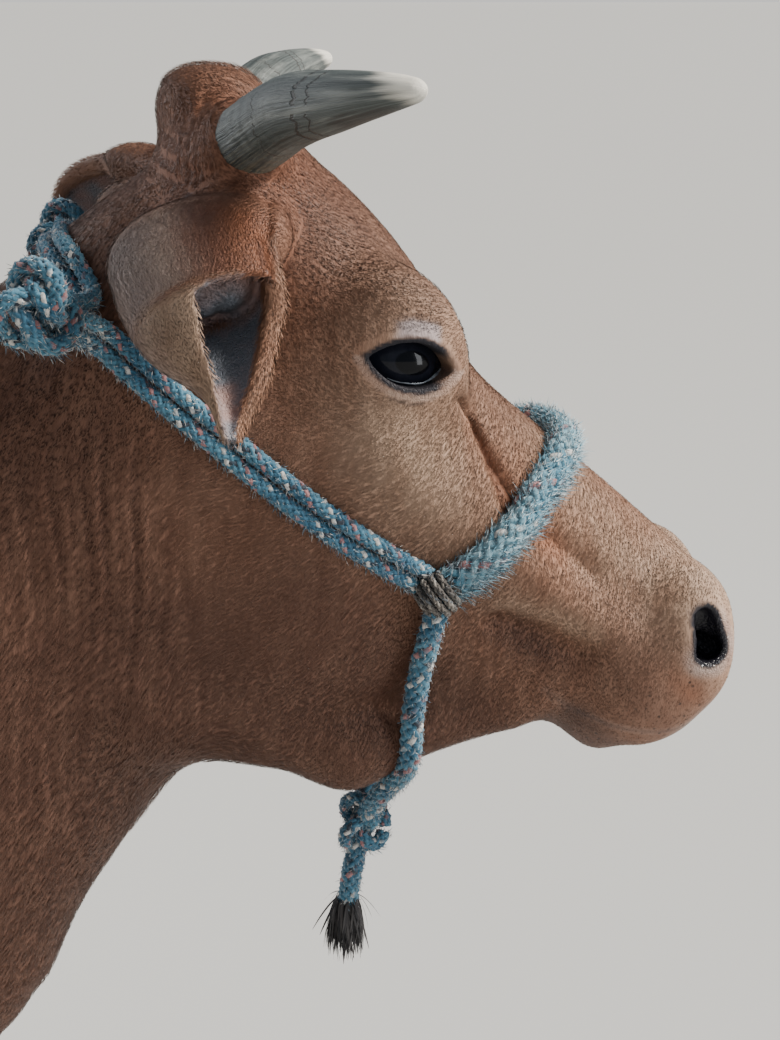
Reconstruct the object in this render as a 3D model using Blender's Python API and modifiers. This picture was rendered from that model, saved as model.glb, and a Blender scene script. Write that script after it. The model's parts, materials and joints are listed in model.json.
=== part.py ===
"""A life-size standing jersey-cross cow in a rope halter, parted into the pieces a person would name.

Metres, +Z up, +X towards the muzzle, +Y towards the cow's left. The origin is on the ground under
the middle of the model. The flesh is one smooth body: every bone and muscle is a rounded form with
named sizes, the forms are blended by a short radius, and the blend is meshed once and then parted by
thin cuts. Ears, horns, eyes, hooves, tail hair and halter are made from their own few sizes.
"""
import math

import bmesh
import bpy
import numpy as np
import openvdb
from mathutils import Matrix, Vector

# Driving dimensions of the animal
WITHERS_HEIGHT = 1.22
POLL = (0.765, 0.0, 1.398)      # top of the head between the horns
HEAD_PITCH = math.radians(46)   # the face line below the horizontal
GAP = 0.0003                    # space that touching meshes keep
HEAD_VOXEL = 0.003
BODY_VOXEL = 0.0125
HOOF_VOXEL = 0.0035
EYE_RADIUS = 0.021
EYE = (0.1820, 0.0665, -0.0390)  # along the face, across, out of the face
EYE_SLANT = math.radians(33)     # the opening's long axis, below the face line's direction
STRAND = 0.0055                  # radius of one strand of the cheek ropes
BAND = 0.0105                    # radius of the nose band
CHIN_ROPE = 0.0080
RED_BROWN = (0.42, 0.19, 0.10)
PALE = (0.55, 0.38, 0.28)
HORN = (0.33, 0.34, 0.29)
BLUE = (0.18, 0.38, 0.52)


def curve_through(stations, places):
    """A smooth function through the stations, level where the values turn and clamped past the ends."""
    x = np.asarray(stations, float)
    y = np.asarray(places, float)
    slope = np.diff(y) / np.diff(x)
    tangent = np.zeros_like(y)
    inner = slope[:-1] * slope[1:] > 0
    tangent[1:-1][inner] = 2 * slope[:-1][inner] * slope[1:][inner] / (slope[:-1] + slope[1:])[inner]
    tangent[0], tangent[-1] = slope[0], slope[-1]

    def value(at):
        at = np.clip(at, x[0], x[-1])
        i = np.clip(np.searchsorted(x, at) - 1, 0, len(x) - 2)
        width = x[i + 1] - x[i]
        t = (at - x[i]) / width
        return (
            y[i] * (1 + 2 * t) * (1 - t) ** 2
            + y[i + 1] * t * t * (3 - 2 * t)
            + width * (tangent[i] * t * (1 - t) ** 2 - tangent[i + 1] * t * t * (1 - t))
        )

    return value


def lofted(along, across, up, stations, cap):
    """Distance to a loft whose section at each station has a top, a bottom, a widest level, a half width there,
    and how square its upper and lower halves are. cap rounds its two ends."""
    table = np.asarray(stations, float).T
    top, bottom, level, half, upper, lower = (curve_through(table[0], row)(along) for row in table[1:])
    above = up > level
    power = np.where(above, upper, lower)
    height = np.where(above, top - level, level - bottom)
    a = np.abs(across) / half
    b = np.abs(up - level) / height
    rho = np.maximum((a**power + b**power) ** (1 / power), 1e-3)
    grade = rho ** (1 - power) * np.hypot(a ** (power - 1) / half, b ** (power - 1) / height)
    side = (rho - 1) / np.maximum(grade, 1.0)
    end = np.maximum(table[0][0] - along, along - table[0][-1])
    return blend_cut(side, end, cap)


def blend(a, b, radius):
    """The join of two forms, filleted over about that radius."""
    h = np.clip(0.5 + 0.5 * (b - a) / radius, 0, 1)
    return b + (a - b) * h - radius * h * (1 - h)


def blend_cut(a, b, radius):
    """What two forms share, with a rounded edge."""
    return -blend(-a, -b, radius)


def ball(p, centre, radii, tilt=0.0):
    """Distance to an ellipsoid, tilted nose down by that many degrees in the side view."""
    c, s = math.cos(math.radians(tilt)), math.sin(math.radians(tilt))
    x, y, z = (p[i] - centre[i] for i in range(3))
    x, z = x * c - z * s, x * s + z * c
    near = np.sqrt((x / radii[0]) ** 2 + (y / radii[1]) ** 2 + (z / radii[2]) ** 2)
    far = np.sqrt((x / radii[0] ** 2) ** 2 + (y / radii[1] ** 2) ** 2 + (z / radii[2] ** 2) ** 2)
    return near * (near - 1) / np.maximum(far, 1e-6)


def limb(p, start, end, r_start, r_end, width=1.0):
    """Distance to a tapered bone or muscle between two points; width scales it across the body."""
    a, b = np.array(start, float), np.array(end, float)
    q = [p[0] - a[0], (p[1] - a[1]), p[2] - a[2]]
    d = b - a
    t = np.clip((q[0] * d[0] + q[1] * d[1] + q[2] * d[2]) / (d @ d), 0, 1)
    x, y, z = (q[i] - t * d[i] for i in range(3))
    return np.sqrt(x * x + (y / width) ** 2 + z * z) - (r_start + (r_end - r_start) * t)


def joined(forms, start=None):
    """Blends a list of (distance, radius) onto start."""
    whole = start
    for distance, radius in forms:
        whole = distance if whole is None else blend(whole, distance, radius)
    return whole


# x, top, bottom, widest level, half width there, squareness of the upper and of the lower half
TRUNK_STATIONS = (
    (-1.06, 1.130, 0.950, 1.030, 0.075, 2.0, 2.0),
    (-0.98, 1.195, 0.840, 1.020, 0.140, 2.1, 2.0),
    (-0.84, 1.213, 0.700, 0.980, 0.195, 2.2, 2.0),
    (-0.68, 1.218, 0.610, 0.930, 0.235, 2.1, 2.0),
    (-0.48, 1.200, 0.545, 0.850, 0.275, 2.1, 2.1),
    (-0.22, 1.184, 0.515, 0.810, 0.285, 2.0, 2.1),
    (0.02, 1.196, 0.525, 0.810, 0.240, 1.8, 2.0),
    (0.17, 1.220, 0.550, 0.830, 0.190, 1.6, 1.9),
    (0.32, 1.226, 0.585, 0.860, 0.155, 1.7, 1.8),
    (0.46, 1.232, 0.640, 0.930, 0.125, 1.8, 1.7),
    (0.58, 1.248, 0.745, 1.010, 0.102, 1.9, 1.7),
    (0.65, 1.277, 0.850, 1.070, 0.092, 2.0, 1.8),
    (0.71, 1.312, 0.940, 1.130, 0.083, 2.0, 1.9),
    (0.76, 1.325, 1.000, 1.170, 0.070, 2.0, 2.0),
)

# along the face from the poll, top, bottom, widest level, half width, squareness of upper and lower half
HEAD_STATIONS = (
    (0.026, -0.032, -0.150, -0.080, 0.050, 2.2, 2.0),
    (0.060, -0.014, -0.225, -0.075, 0.076, 2.3, 2.0),
    (0.110, -0.010, -0.280, -0.075, 0.088, 2.6, 1.9),
    (0.185, -0.012, -0.306, -0.080, 0.092, 2.8, 1.9),
    (0.250, -0.017, -0.311, -0.085, 0.083, 2.6, 2.0),
    (0.310, -0.012, -0.284, -0.080, 0.068, 2.2, 2.0),
    (0.350, -0.008, -0.250, -0.076, 0.060, 2.1, 1.9),
    (0.390, -0.005, -0.194, -0.070, 0.056, 2.1, 1.8),
    (0.430, -0.003, -0.150, -0.062, 0.056, 2.2, 2.0),
    (0.475, -0.012, -0.125, -0.062, 0.056, 2.4, 2.2),
    (0.508, -0.036, -0.098, -0.066, 0.044, 2.4, 2.4),
)

# the mouth line in the side view: along the face, out of the face, at its back corner and along to its front
MOUTH = ((0.408, -0.121), (0.433, -0.120), (0.460, -0.108), (0.487, -0.088), (0.515, -0.062))


def head_axes(p):
    """World points as (along the face, across, out of the face), measured from the poll."""
    c, s = math.cos(HEAD_PITCH), math.sin(HEAD_PITCH)
    x, z = p[0] - POLL[0], p[2] - POLL[2]
    return [x * c - z * s, p[1] - POLL[1], x * s + z * c]


def head_point(along, across, out):
    """The world point of one place on the head."""
    c, s = math.cos(HEAD_PITCH), math.sin(HEAD_PITCH)
    return Vector((POLL[0] + along * c + out * s, POLL[1] + across, POLL[2] - along * s + out * c))


def eye_axes(m):
    """Head places (folded onto one side) in the eye's frame: along its opening, up its lids, outwards."""
    c, s = math.cos(EYE_SLANT), math.sin(EYE_SLANT)
    x, y, z = m[0] - EYE[0], m[1] - EYE[1], m[2] - EYE[2]
    inward, up = x * c + z * s, -x * s + z * c
    turn, lean = math.radians(14), math.radians(8)
    inward, out = inward * math.cos(turn) - y * math.sin(turn), inward * math.sin(turn) + y * math.cos(turn)
    up, out = up * math.cos(lean) - out * math.sin(lean), up * math.sin(lean) + out * math.cos(lean)
    return inward, up, out


def eyelids(skull, m):
    """The lids over the eye with their almond opening, worked into the skull."""
    inward, up, out = eye_axes(m)
    lids = np.sqrt((inward / 1.12) ** 2 + up**2 + out**2) - (EYE_RADIUS + 0.0042)
    skull = blend(skull, lids, 0.012)
    half, above, below = 0.0285, 0.0165, 0.0150
    r_up, r_low = (half**2 + above**2) / (2 * above), (half**2 + below**2) / (2 * below)
    upper = np.hypot(inward, up - above + r_up) - r_up
    lower = np.hypot(inward, up + below - r_low) - r_low
    almond = np.maximum(upper, lower)
    opening = np.maximum(almond, 0.0085 - out)
    fold = np.abs(np.hypot(inward, up - above - 0.010 + r_up) - r_up) - 0.0012
    fold = np.maximum(np.maximum(fold, np.abs(inward) - 0.024), 0.0 - up)
    fold = np.maximum(fold, -0.0025 - skull)
    return blend_cut(blend_cut(skull, -opening, 0.002), -fold, 0.003)


def head_form(p):
    q = head_axes(p)
    m = [q[0], np.abs(q[1]), q[2]]
    whole = joined(
        [
            (ball(m, (0.026, 0.0, -0.016), (0.034, 0.043, 0.029)), 0.020),      # bump of the poll
            (ball(m, (0.052, 0.046, -0.034), (0.030, 0.034, 0.028)), 0.020),    # seat of the horn
            (limb(m, (0.044, 0.030, -0.038), (0.041, 0.064, -0.017), 0.022, 0.0215), 0.010),  # its sleeve of skin
            (ball(m, (0.118, 0.0, -0.034), (0.088, 0.060, 0.036)), 0.030),      # forehead
            (ball(m, (0.178, 0.072, -0.032), (0.044, 0.026, 0.032), 20), 0.020),  # rim of the eye socket
            (limb(m, (0.215, 0.080, -0.082), (0.335, 0.052, -0.082), 0.018, 0.012), 0.030),  # cheek bone
            (ball(m, (0.225, 0.052, -0.180), (0.090, 0.034, 0.090), 30), 0.035),  # chewing muscle
            (limb(m, (0.225, 0.048, -0.290), (0.345, 0.042, -0.234), 0.026, 0.020), 0.030),  # lower jaw
            (limb(m, (0.345, 0.042, -0.234), (0.405, 0.026, -0.150), 0.020, 0.014), 0.025),
            (ball(m, (0.452, 0.036, -0.034), (0.042, 0.028, 0.030), 35), 0.018),  # wing of the nostril
            (ball(m, (0.448, 0.0, -0.078), (0.056, 0.061, 0.036), 25), 0.020),    # upper lip
            (ball(m, (0.452, 0.0, -0.109), (0.040, 0.043, 0.021), 28), 0.010),    # chin
            (limb(m, (0.322, 0.050, -0.078), (0.408, 0.050, -0.066), 0.013, 0.011), 0.015),  # fold to the lip
        ],
        lofted(q[0], q[1], q[2], HEAD_STATIONS, 0.03),
    )
    temple = ball(m, (0.122, 0.108, -0.078), (0.040, 0.018, 0.032), 35)
    whole = blend_cut(whole, -temple, 0.02)
    hollow = limb(m, (0.350, 0.072, -0.100), (0.405, 0.070, -0.086), 0.010, 0.008)
    whole = blend_cut(whole, -hollow, 0.016)
    crease = limb([m[0], 0 * m[1], m[2]], (0.222, 0, -0.030), (0.302, 0, -0.052), 0.003, 0.003)
    whole = blend_cut(whole, -np.maximum(crease, -0.0035 - whole), 0.010)
    whole = eyelids(whole, m)
    nostril = joined(
        [
            (limb(m, (0.450, 0.056, -0.022), (0.470, 0.058, -0.030), 0.006, 0.0105), 0.008),
            (limb(m, (0.470, 0.056, -0.030), (0.496, 0.040, -0.050), 0.0105, 0.006), 0.008),
            (limb(m, (0.476, 0.050, -0.034), (0.430, 0.022, -0.050), 0.0100, 0.007), 0.008),
        ]
    )
    whole = blend_cut(whole, -nostril, 0.006)
    line = None
    for (s0, n0), (s1, n1) in zip(MOUTH[:-1], MOUTH[1:]):
        piece = limb([m[0], 0 * m[1], m[2]], (s0, 0, n0), (s1, 0, n1), 0.0014, 0.0014)
        line = piece if line is None else np.minimum(line, piece)
    line = np.maximum(line, -0.006 - whole)
    return blend_cut(whole, -line, 0.004)


def body_form(p):
    """Trunk and neck with their bones and muscles, and the legs down to the hooves."""
    m = [p[0], np.abs(p[1]), p[2]]
    whole = joined(
        [
            (ball(m, (0.235, 0.122, 0.970), (0.130, 0.056, 0.245), -24), 0.10),   # shoulder blade
            (limb(m, (0.375, 0.120, 0.840), (0.225, 0.155, 0.690), 0.074, 0.068), 0.11),  # upper arm
            (ball(m, (0.405, 0.0, 0.700), (0.105, 0.095, 0.115), 20), 0.09),      # brisket
            (limb(m, (0.600, 0.0, 0.830), (0.450, 0.0, 0.640), 0.020, 0.030), 0.07),  # fold of the dewlap
            (ball(m, (-0.650, 0.185, 1.125), (0.080, 0.052, 0.062)), 0.09),       # hook bone
            (ball(m, (-1.025, 0.088, 1.085), (0.050, 0.038, 0.050)), 0.07),       # pin bone
            (ball(m, (-0.850, 0.120, 1.010), (0.190, 0.095, 0.165), 12), 0.07),   # rump
            (ball(m, (-0.880, 0.135, 0.850), (0.150, 0.082, 0.240), 8), 0.07),    # thigh
            (ball(m, (-0.705, 0.175, 0.765), (0.085, 0.060, 0.120), 20), 0.06),   # stifle
        ],
        lofted(p[0], p[1], p[2], TRUNK_STATIONS, 0.05),
    )
    flank = ball(m, (-0.540, 0.300, 1.050), (0.120, 0.050, 0.090), -20)
    whole = blend_cut(whole, -flank, 0.06)
    foreleg = joined(
        [
            (limb(m, (0.215, 0.160, 0.690), (0.232, 0.150, 0.430), 0.074, 0.040, 0.85), 0.04),
            (ball(m, (0.240, 0.148, 0.400), (0.044, 0.040, 0.058)), 0.03),        # knee
            (limb(m, (0.234, 0.148, 0.370), (0.232, 0.145, 0.170), 0.029, 0.027, 0.95), 0.03),
            (ball(m, (0.234, 0.145, 0.150), (0.037, 0.038, 0.036)), 0.02),        # fetlock
            (limb(m, (0.240, 0.145, 0.140), (0.262, 0.145, 0.075), 0.033, 0.038, 1.1), 0.02),
            (ball(m, (0.202, 0.170, 0.128), (0.013, 0.012, 0.018), -20), 0.006),  # dew claws
            (ball(m, (0.202, 0.120, 0.128), (0.013, 0.012, 0.018), -20), 0.006),
        ]
    )
    hindleg = joined(
        [
            (limb(m, (-0.715, 0.180, 0.740), (-0.940, 0.160, 0.500), 0.092, 0.040, 0.75), 0.04),
            (limb(m, (-0.980, 0.158, 0.515), (-0.930, 0.155, 0.455), 0.022, 0.038, 0.9), 0.03),  # hock
            (limb(m, (-0.985, 0.158, 0.510), (-0.985, 0.155, 0.760), 0.016, 0.055, 0.8), 0.06),  # tendon
            (limb(m, (-0.948, 0.155, 0.430), (-0.935, 0.150, 0.175), 0.032, 0.029, 0.95), 0.03),
            (ball(m, (-0.932, 0.150, 0.152), (0.039, 0.040, 0.038)), 0.02),
            (limb(m, (-0.926, 0.150, 0.140), (-0.902, 0.150, 0.075), 0.034, 0.039, 1.1), 0.02),
            (ball(m, (-0.966, 0.176, 0.130), (0.013, 0.012, 0.018), -20), 0.006),
            (ball(m, (-0.966, 0.124, 0.130), (0.013, 0.012, 0.018), -20), 0.006),
        ]
    )
    return joined([(foreleg, 0.05), (hindleg, 0.05)], whole)


def flesh(p):
    """The whole animal's flesh, apart from ears, udder and tail."""
    return blend(body_form(p), head_form(p), 0.04)


# where the legs part from the trunk in the side view, anticlockwise
FORELEG_CUT = ((0.10, -0.05), (0.36, -0.05), (0.36, 0.500), (0.330, 0.600), (0.120, 0.570))
HINDLEG_CUT = ((-1.12, -0.05), (-0.82, -0.05), (-0.80, 0.480), (-0.640, 0.640), (-0.640, 0.700), (-1.12, 0.700))


def udder_form(p):
    m = [p[0], np.abs(p[1]), p[2]]
    return joined(
        [
            (ball(m, (-0.760, 0.055, 0.570), (0.105, 0.075, 0.105)), 0.05),
            (limb(m, (-0.690, 0.045, 0.480), (-0.688, 0.047, 0.425), 0.016, 0.009), 0.02),
            (limb(m, (-0.800, 0.042, 0.475), (-0.802, 0.044, 0.420), 0.016, 0.009), 0.02),
        ],
        ball(m, (-0.700, 0.050, 0.585), (0.140, 0.070, 0.100)),
    )


def hoof_form(p, x, y):
    """Two claws side by side, wide at the sole and sloping up and back from the toe."""
    q = [p[0] - x, np.abs(p[1] - y), p[2]]
    lean = 0.52 * (0.08 - q[2])
    ahead, across = q[0] - lean, q[1] - 0.0225 - 0.10 * (0.08 - q[2])
    length, width = 0.038 + 0.25 * (0.08 - q[2]), 0.0225 + 0.03 * (0.08 - q[2])
    claw = (np.sqrt((ahead / length) ** 2 + (across / width) ** 2) - 1) * width * 0.8
    level = q[2] - 0.080 - 0.35 * q[0]
    return np.maximum(blend(claw, claw + 0.002, 0.001), level - 0.03)


def meshed(name, form, low, high, voxel):
    """One mesh of where the form's distance is below zero, closed at the sides of a box."""
    low, high = np.array(low), np.array(high)
    size = np.ceil((high - low) / voxel).astype(int) + 1
    axes = [low[i] + voxel * np.arange(size[i]) for i in range(3)]
    distance = form(np.meshgrid(*axes, indexing="ij")).astype(np.float32)
    for axis in range(3):
        ends = [slice(None)] * 3
        for ends[axis] in (0, -1):
            distance[tuple(ends)] = np.maximum(distance[tuple(ends)], voxel * 0.3)
    volume = openvdb.FloatGrid(background=voxel * 3)
    volume.copyFromArray(np.clip(distance, -voxel * 3, voxel * 3))
    points, quads = volume.convertToQuads(isovalue=0.0)
    mesh = bpy.data.meshes.new(name)
    mesh.from_pydata((low + points * voxel).tolist(), [], quads.tolist())
    mesh.update()
    return mesh


def placed(name, mesh, colour, roughness=0.6):
    """An object in the scene with its own material."""
    obj = bpy.data.objects.new(name, mesh)
    bpy.context.scene.collection.objects.link(obj)
    material = bpy.data.materials.new(name)
    material.use_nodes = True
    shader = material.node_tree.nodes["Principled BSDF"]
    shader.inputs["Base Color"].default_value = (*colour, 1)
    shader.inputs["Roughness"].default_value = roughness
    mesh.materials.clear()
    mesh.materials.append(material)
    return obj


def baked(obj):
    """Applies the object's modifiers and keeps its largest closed surface."""
    bpy.context.view_layer.update()
    evaluated = obj.evaluated_get(bpy.context.evaluated_depsgraph_get())
    mesh = bpy.data.meshes.new_from_object(evaluated)
    obj.modifiers.clear()
    old, obj.data = obj.data, mesh
    bpy.data.meshes.remove(old)
    keep_largest(mesh)
    return obj


def keep_largest(mesh):
    bm = bmesh.new()
    bm.from_mesh(mesh)
    left, islands = set(bm.verts), []
    while left:
        queue, island = [left.pop()], []
        while queue:
            vertex = queue.pop()
            island.append(vertex)
            for edge in vertex.link_edges:
                other = edge.other_vert(vertex)
                if other in left:
                    left.remove(other)
                    queue.append(other)
        islands.append(island)
    islands.sort(key=len)
    for island in islands[:-1]:
        bmesh.ops.delete(bm, geom=island, context="VERTS")
    bm.to_mesh(mesh)
    bm.free()


def thinned(obj, triangles):
    """Fewer triangles, kept where the surface bends."""
    bm = bmesh.new()
    bm.from_mesh(obj.data)
    bmesh.ops.triangulate(bm, faces=bm.faces)
    bm.to_mesh(obj.data)
    bm.free()
    step = obj.modifiers.new("fewer", "DECIMATE")
    step.ratio = triangles / len(obj.data.polygons)
    return baked(obj)


def combined(obj, tool, operation, solver="MANIFOLD"):
    step = obj.modifiers.new("step", "BOOLEAN")
    step.operation = operation
    step.solver = solver
    step.object = tool
    return baked(obj)


def grown(obj, by):
    """A copy of the object with its surface moved out, to cut a neighbour with."""
    mesh = obj.data.copy()
    tool = bpy.data.objects.new("grown", mesh)
    bpy.context.scene.collection.objects.link(tool)
    points = np.empty(len(mesh.vertices) * 3, np.float32)
    normals = np.empty_like(points)
    mesh.vertices.foreach_get("co", points)
    mesh.vertex_normals.foreach_get("vector", normals)
    mesh.vertices.foreach_set("co", points + normals * by)
    mesh.update()
    return tool


def prism(outline, y_low, y_high):
    """A block with this outline in the side view, between two depths."""
    bm = bmesh.new()
    near = [bm.verts.new((x, y_low, z)) for x, z in outline]
    far = [bm.verts.new((x, y_high, z)) for x, z in outline]
    bm.faces.new(near)
    bm.faces.new(far[::-1])
    for i in range(len(outline)):
        n = (i + 1) % len(outline)
        bm.faces.new((near[n], near[i], far[i], far[n]))
    bmesh.ops.recalc_face_normals(bm, faces=bm.faces)
    mesh = bpy.data.meshes.new("prism")
    bm.to_mesh(mesh)
    bm.free()
    tool = bpy.data.objects.new("prism", mesh)
    bpy.context.scene.collection.objects.link(tool)
    return tool


def widened(outline, by):
    """The outline moved out by a distance on every edge."""
    points = [Vector(p) for p in outline]
    moved = []
    for i, point in enumerate(points):
        before, after = (point - points[i - 1]).normalized(), (points[(i + 1) % len(points)] - point).normalized()
        first, second = Vector((before.y, -before.x)), Vector((after.y, -after.x))
        moved.append(point + (first + second) * by / (1 + first.dot(second)))
    return [tuple(p) for p in moved]


def trimmed(obj, neighbour, by=GAP):
    """Cuts the object back so that it only just clears its neighbour."""
    tool = grown(neighbour, by)
    combined(obj, tool, "DIFFERENCE")
    bpy.data.objects.remove(tool)
    return obj


def blocked(obj, outline, y_low, y_high, operation):
    tool = prism(outline, y_low, y_high)
    combined(obj, tool, operation)
    bpy.data.objects.remove(tool)
    return obj


def sliced(obj, point, normal):
    """Keeps what lies behind the plane, and closes it there with a flat face."""
    bm = bmesh.new()
    bm.from_mesh(obj.data)
    cut = bmesh.ops.bisect_plane(
        bm, geom=bm.verts[:] + bm.edges[:] + bm.faces[:], plane_co=point, plane_no=normal, clear_outer=True
    )
    edges = [e for e in cut["geom_cut"] if isinstance(e, bmesh.types.BMEdge)]
    bmesh.ops.holes_fill(bm, edges=edges, sides=0)
    bmesh.ops.recalc_face_normals(bm, faces=bm.faces)
    bm.to_mesh(obj.data)
    bm.free()
    keep_largest(obj.data)
    return obj


def copied(obj, name, colour):
    return placed(name, obj.data.copy(), colour)


def smooth_line(points, count):
    """Evenly spaced places along a smooth line through the points."""
    points = np.array(points, float)
    at = np.concatenate([[0], np.cumsum(np.linalg.norm(np.diff(points, axis=0), axis=1))])
    fine = np.linspace(0, at[-1], 200)
    slopes = np.gradient(points, at, axis=0)
    i = np.clip(np.searchsorted(at, fine) - 1, 0, len(at) - 2)
    width = at[i + 1] - at[i]
    t = ((fine - at[i]) / width)[:, None]
    width = width[:, None]
    line = (
        points[i] * (1 + 2 * t) * (1 - t) ** 2
        + points[i + 1] * t * t * (3 - 2 * t)
        + width * (slopes[i] * t * (1 - t) ** 2 - slopes[i + 1] * t * t * (1 - t))
    )
    far = np.concatenate([[0], np.cumsum(np.linalg.norm(np.diff(line, axis=0), axis=1))])
    wanted = np.linspace(0, far[-1], count)
    return np.stack([np.interp(wanted, far, line[:, k]) for k in range(3)], axis=1)


def slope_of(form, points):
    """The form's distance and outward direction at each point."""
    step = 0.001
    cloud = [points.T]
    for axis in range(3):
        for way in (step, -step):
            moved = points.T.copy()
            moved[axis] += way
            cloud.append(moved)
    values = [form(c) for c in cloud]
    grade = np.stack([values[1 + 2 * k] - values[2 + 2 * k] for k in range(3)], axis=1) / (2 * step)
    return values[0], grade


def laid(form, points, lift, count, pull=0.0, taut=0.4):
    """A taut line through the points that never comes nearer the form than lift. Where it starts within pull
    of that, it is drawn onto it."""
    line = smooth_line(points, count)
    for turn in range(12):
        distance, grade = slope_of(form, line)
        size = np.maximum(np.linalg.norm(grade, axis=1), 0.3)
        short = (lift - distance) / size
        move = np.where(short > -pull, short, 0.0)
        line += (grade / size[:, None]) * move[:, None]
        if turn < 9:
            line[1:-1] += taut * ((line[:-2] + line[2:]) / 2 - line[1:-1])
    distance, grade = slope_of(form, line)
    return line, grade / np.maximum(np.linalg.norm(grade, axis=1), 0.1)[:, None]


def swept(name, line, section, sizes, outward=None):
    """A closed tube: the section (side, outward) pairs carried along the line, scaled by each station's size."""
    tangents = np.gradient(line, axis=0)
    tangents /= np.linalg.norm(tangents, axis=1)[:, None]
    bm = bmesh.new()
    rings = []
    normal = np.array((0.0, 0.0, 1.0)) if outward is None else outward[0]
    if abs(normal @ tangents[0]) > 0.9:
        normal = np.array((1.0, 0.0, 0.0))
    for i, (place, tangent) in enumerate(zip(line, tangents)):
        normal = normal if outward is None else outward[i]
        normal = normal - tangent * (normal @ tangent)
        normal /= np.linalg.norm(normal)
        side = np.cross(tangent, normal)
        rings.append([bm.verts.new(place + sizes[i] * (a * side + b * normal)) for a, b in section])
    count = len(section)
    for first, second in zip(rings[:-1], rings[1:]):
        for k in range(count):
            n = (k + 1) % count
            bm.faces.new((first[k], first[n], second[n], second[k]))
    bm.faces.new(rings[0][::-1])
    bm.faces.new(rings[-1])
    bmesh.ops.recalc_face_normals(bm, faces=bm.faces)
    mesh = bpy.data.meshes.new(name)
    bm.to_mesh(mesh)
    bm.free()
    return mesh


def circle(count, wide=1.0, deep=1.0):
    return [
        (wide * math.cos(2 * math.pi * k / count), deep * math.sin(2 * math.pi * k / count)) for k in range(count)
    ]


def two_strands(radius):
    """The outline of two ropes lying side by side."""
    outline = []
    for k in range(10):
        turn = 2 * math.pi * (k + 0.5) / 10
        lobe = 1.9 if abs(math.cos(turn)) > 0.3 else 0.9
        outline.append((radius * lobe * math.cos(turn), radius * min(1.0, 0.75 + 0.35 * abs(math.cos(turn))) * math.sin(turn) * 1.05))
    return outline


# One side's ear: middle of its rolled section from base to tip, then half width, half depth, and the angles
# of its two rims, where 0 faces the side and 90 faces forward.
RIGHT_EAR = ((0.768, 0.066, 1.312), (0.758, 0.098, 1.310), (0.751, 0.128, 1.302), (0.757, 0.158, 1.283),
             (0.766, 0.184, 1.258), (0.766, 0.202, 1.235))
LEFT_EAR = ((0.752, 0.066, 1.308), (0.736, 0.098, 1.302), (0.716, 0.130, 1.296), (0.694, 0.160, 1.291),
            (0.673, 0.187, 1.284), (0.657, 0.208, 1.274))
RIGHT_EAR_FACES = (1.0, 0.0, 0.25)
LEFT_EAR_FACES = (-0.35, -0.15, 0.90)
# The right ear hangs, so its rims meet in a hood down to a fold; the left ear is turned back and open.
RIGHT_EAR_SHAPE = (
    (0.00, 0.026, 0.014, 72, 78),
    (0.16, 0.034, 0.017, 74, 80),
    (0.30, 0.038, 0.022, 75, 82),
    (0.42, 0.0385, 0.025, 77, 84),
    (0.50, 0.0375, 0.025, 76, 86),
    (0.555, 0.0363, 0.0243, 75, 88),
    (0.595, 0.0353, 0.0233, 2, 97),
    (0.66, 0.0315, 0.0212, -8, 105),
    (0.74, 0.0240, 0.0180, -18, 111),
    (0.82, 0.0160, 0.0132, -28, 120),
    (0.90, 0.0095, 0.010, -45, 140),
    (1.00, 0.0045, 0.004, -70, 165),
)
LEFT_EAR_SHAPE = (
    (0.00, 0.022, 0.018, 56, 84),
    (0.16, 0.030, 0.022, 50, 86),
    (0.32, 0.036, 0.024, 30, 90),
    (0.44, 0.037, 0.025, 10, 96),
    (0.58, 0.036, 0.023, -5, 100),
    (0.76, 0.031, 0.018, -20, 106),
    (0.90, 0.019, 0.010, -45, 120),
    (1.00, 0.006, 0.004, -70, 165),
)


def ear_mesh(name, side, places, faces, shape):
    table = np.array(shape).T
    wide, deep, near, far = (curve_through(table[0], row) for row in table[1:])
    rows, columns = 11, 9
    middle = smooth_line(places, rows)
    tangents = np.gradient(middle, axis=0)
    tangents /= np.linalg.norm(tangents, axis=1)[:, None]
    bm = bmesh.new()
    grid = []
    for i in range(rows):
        u = i / (rows - 1)
        front = np.array(faces) - tangents[i] * (np.array(faces) @ tangents[i])
        front /= np.linalg.norm(front)
        out = np.cross(front, tangents[i])
        start, end = math.radians(float(far(u))), math.radians(360 + float(near(u)))
        row = []
        for k in range(columns):
            turn = start + (end - start) * k / (columns - 1)
            place = middle[i] + front * float(wide(u)) * math.sin(turn) + out * float(deep(u)) * math.cos(turn)
            row.append(bm.verts.new((place[0], side * place[1], place[2])))
        grid.append(row)
    for first, second in zip(grid[:-1], grid[1:]):
        for k in range(columns - 1):
            bm.faces.new((first[k], first[k + 1], second[k + 1], second[k]))
    mesh = bpy.data.meshes.new(name)
    bm.to_mesh(mesh)
    bm.free()
    return mesh


HORN_LINE = ((0.768, 0.036, 1.343), (0.783, 0.072, 1.360), (0.803, 0.108, 1.3775), (0.822, 0.150, 1.3855),
             (0.835, 0.173, 1.3893), (0.847, 0.189, 1.3918), (0.8575, 0.1985, 1.3930))
HORN_SIZES = ((0.0, 0.0195), (0.20, 0.0200), (0.45, 0.0188), (0.65, 0.0156), (0.82, 0.0115), (0.93, 0.0080), (1.0, 0.0045))
TAIL_LINE = ((-0.965, 0.0, 1.140), (-1.040, 0.0, 1.158), (-1.080, 0.0, 1.085), (-1.088, 0.0, 0.950),
             (-1.086, 0.0, 0.760), (-1.082, 0.0, 0.560))
CHEEK_KNOT = (0.885, 0.092, 1.105)
NECK_KNOT = (0.672, 0.118, 1.283)
CHIN_KNOT = (0.850, -0.010, 0.910)
CROWN_TOP = (0.662, 0.0, 1.315)


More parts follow.
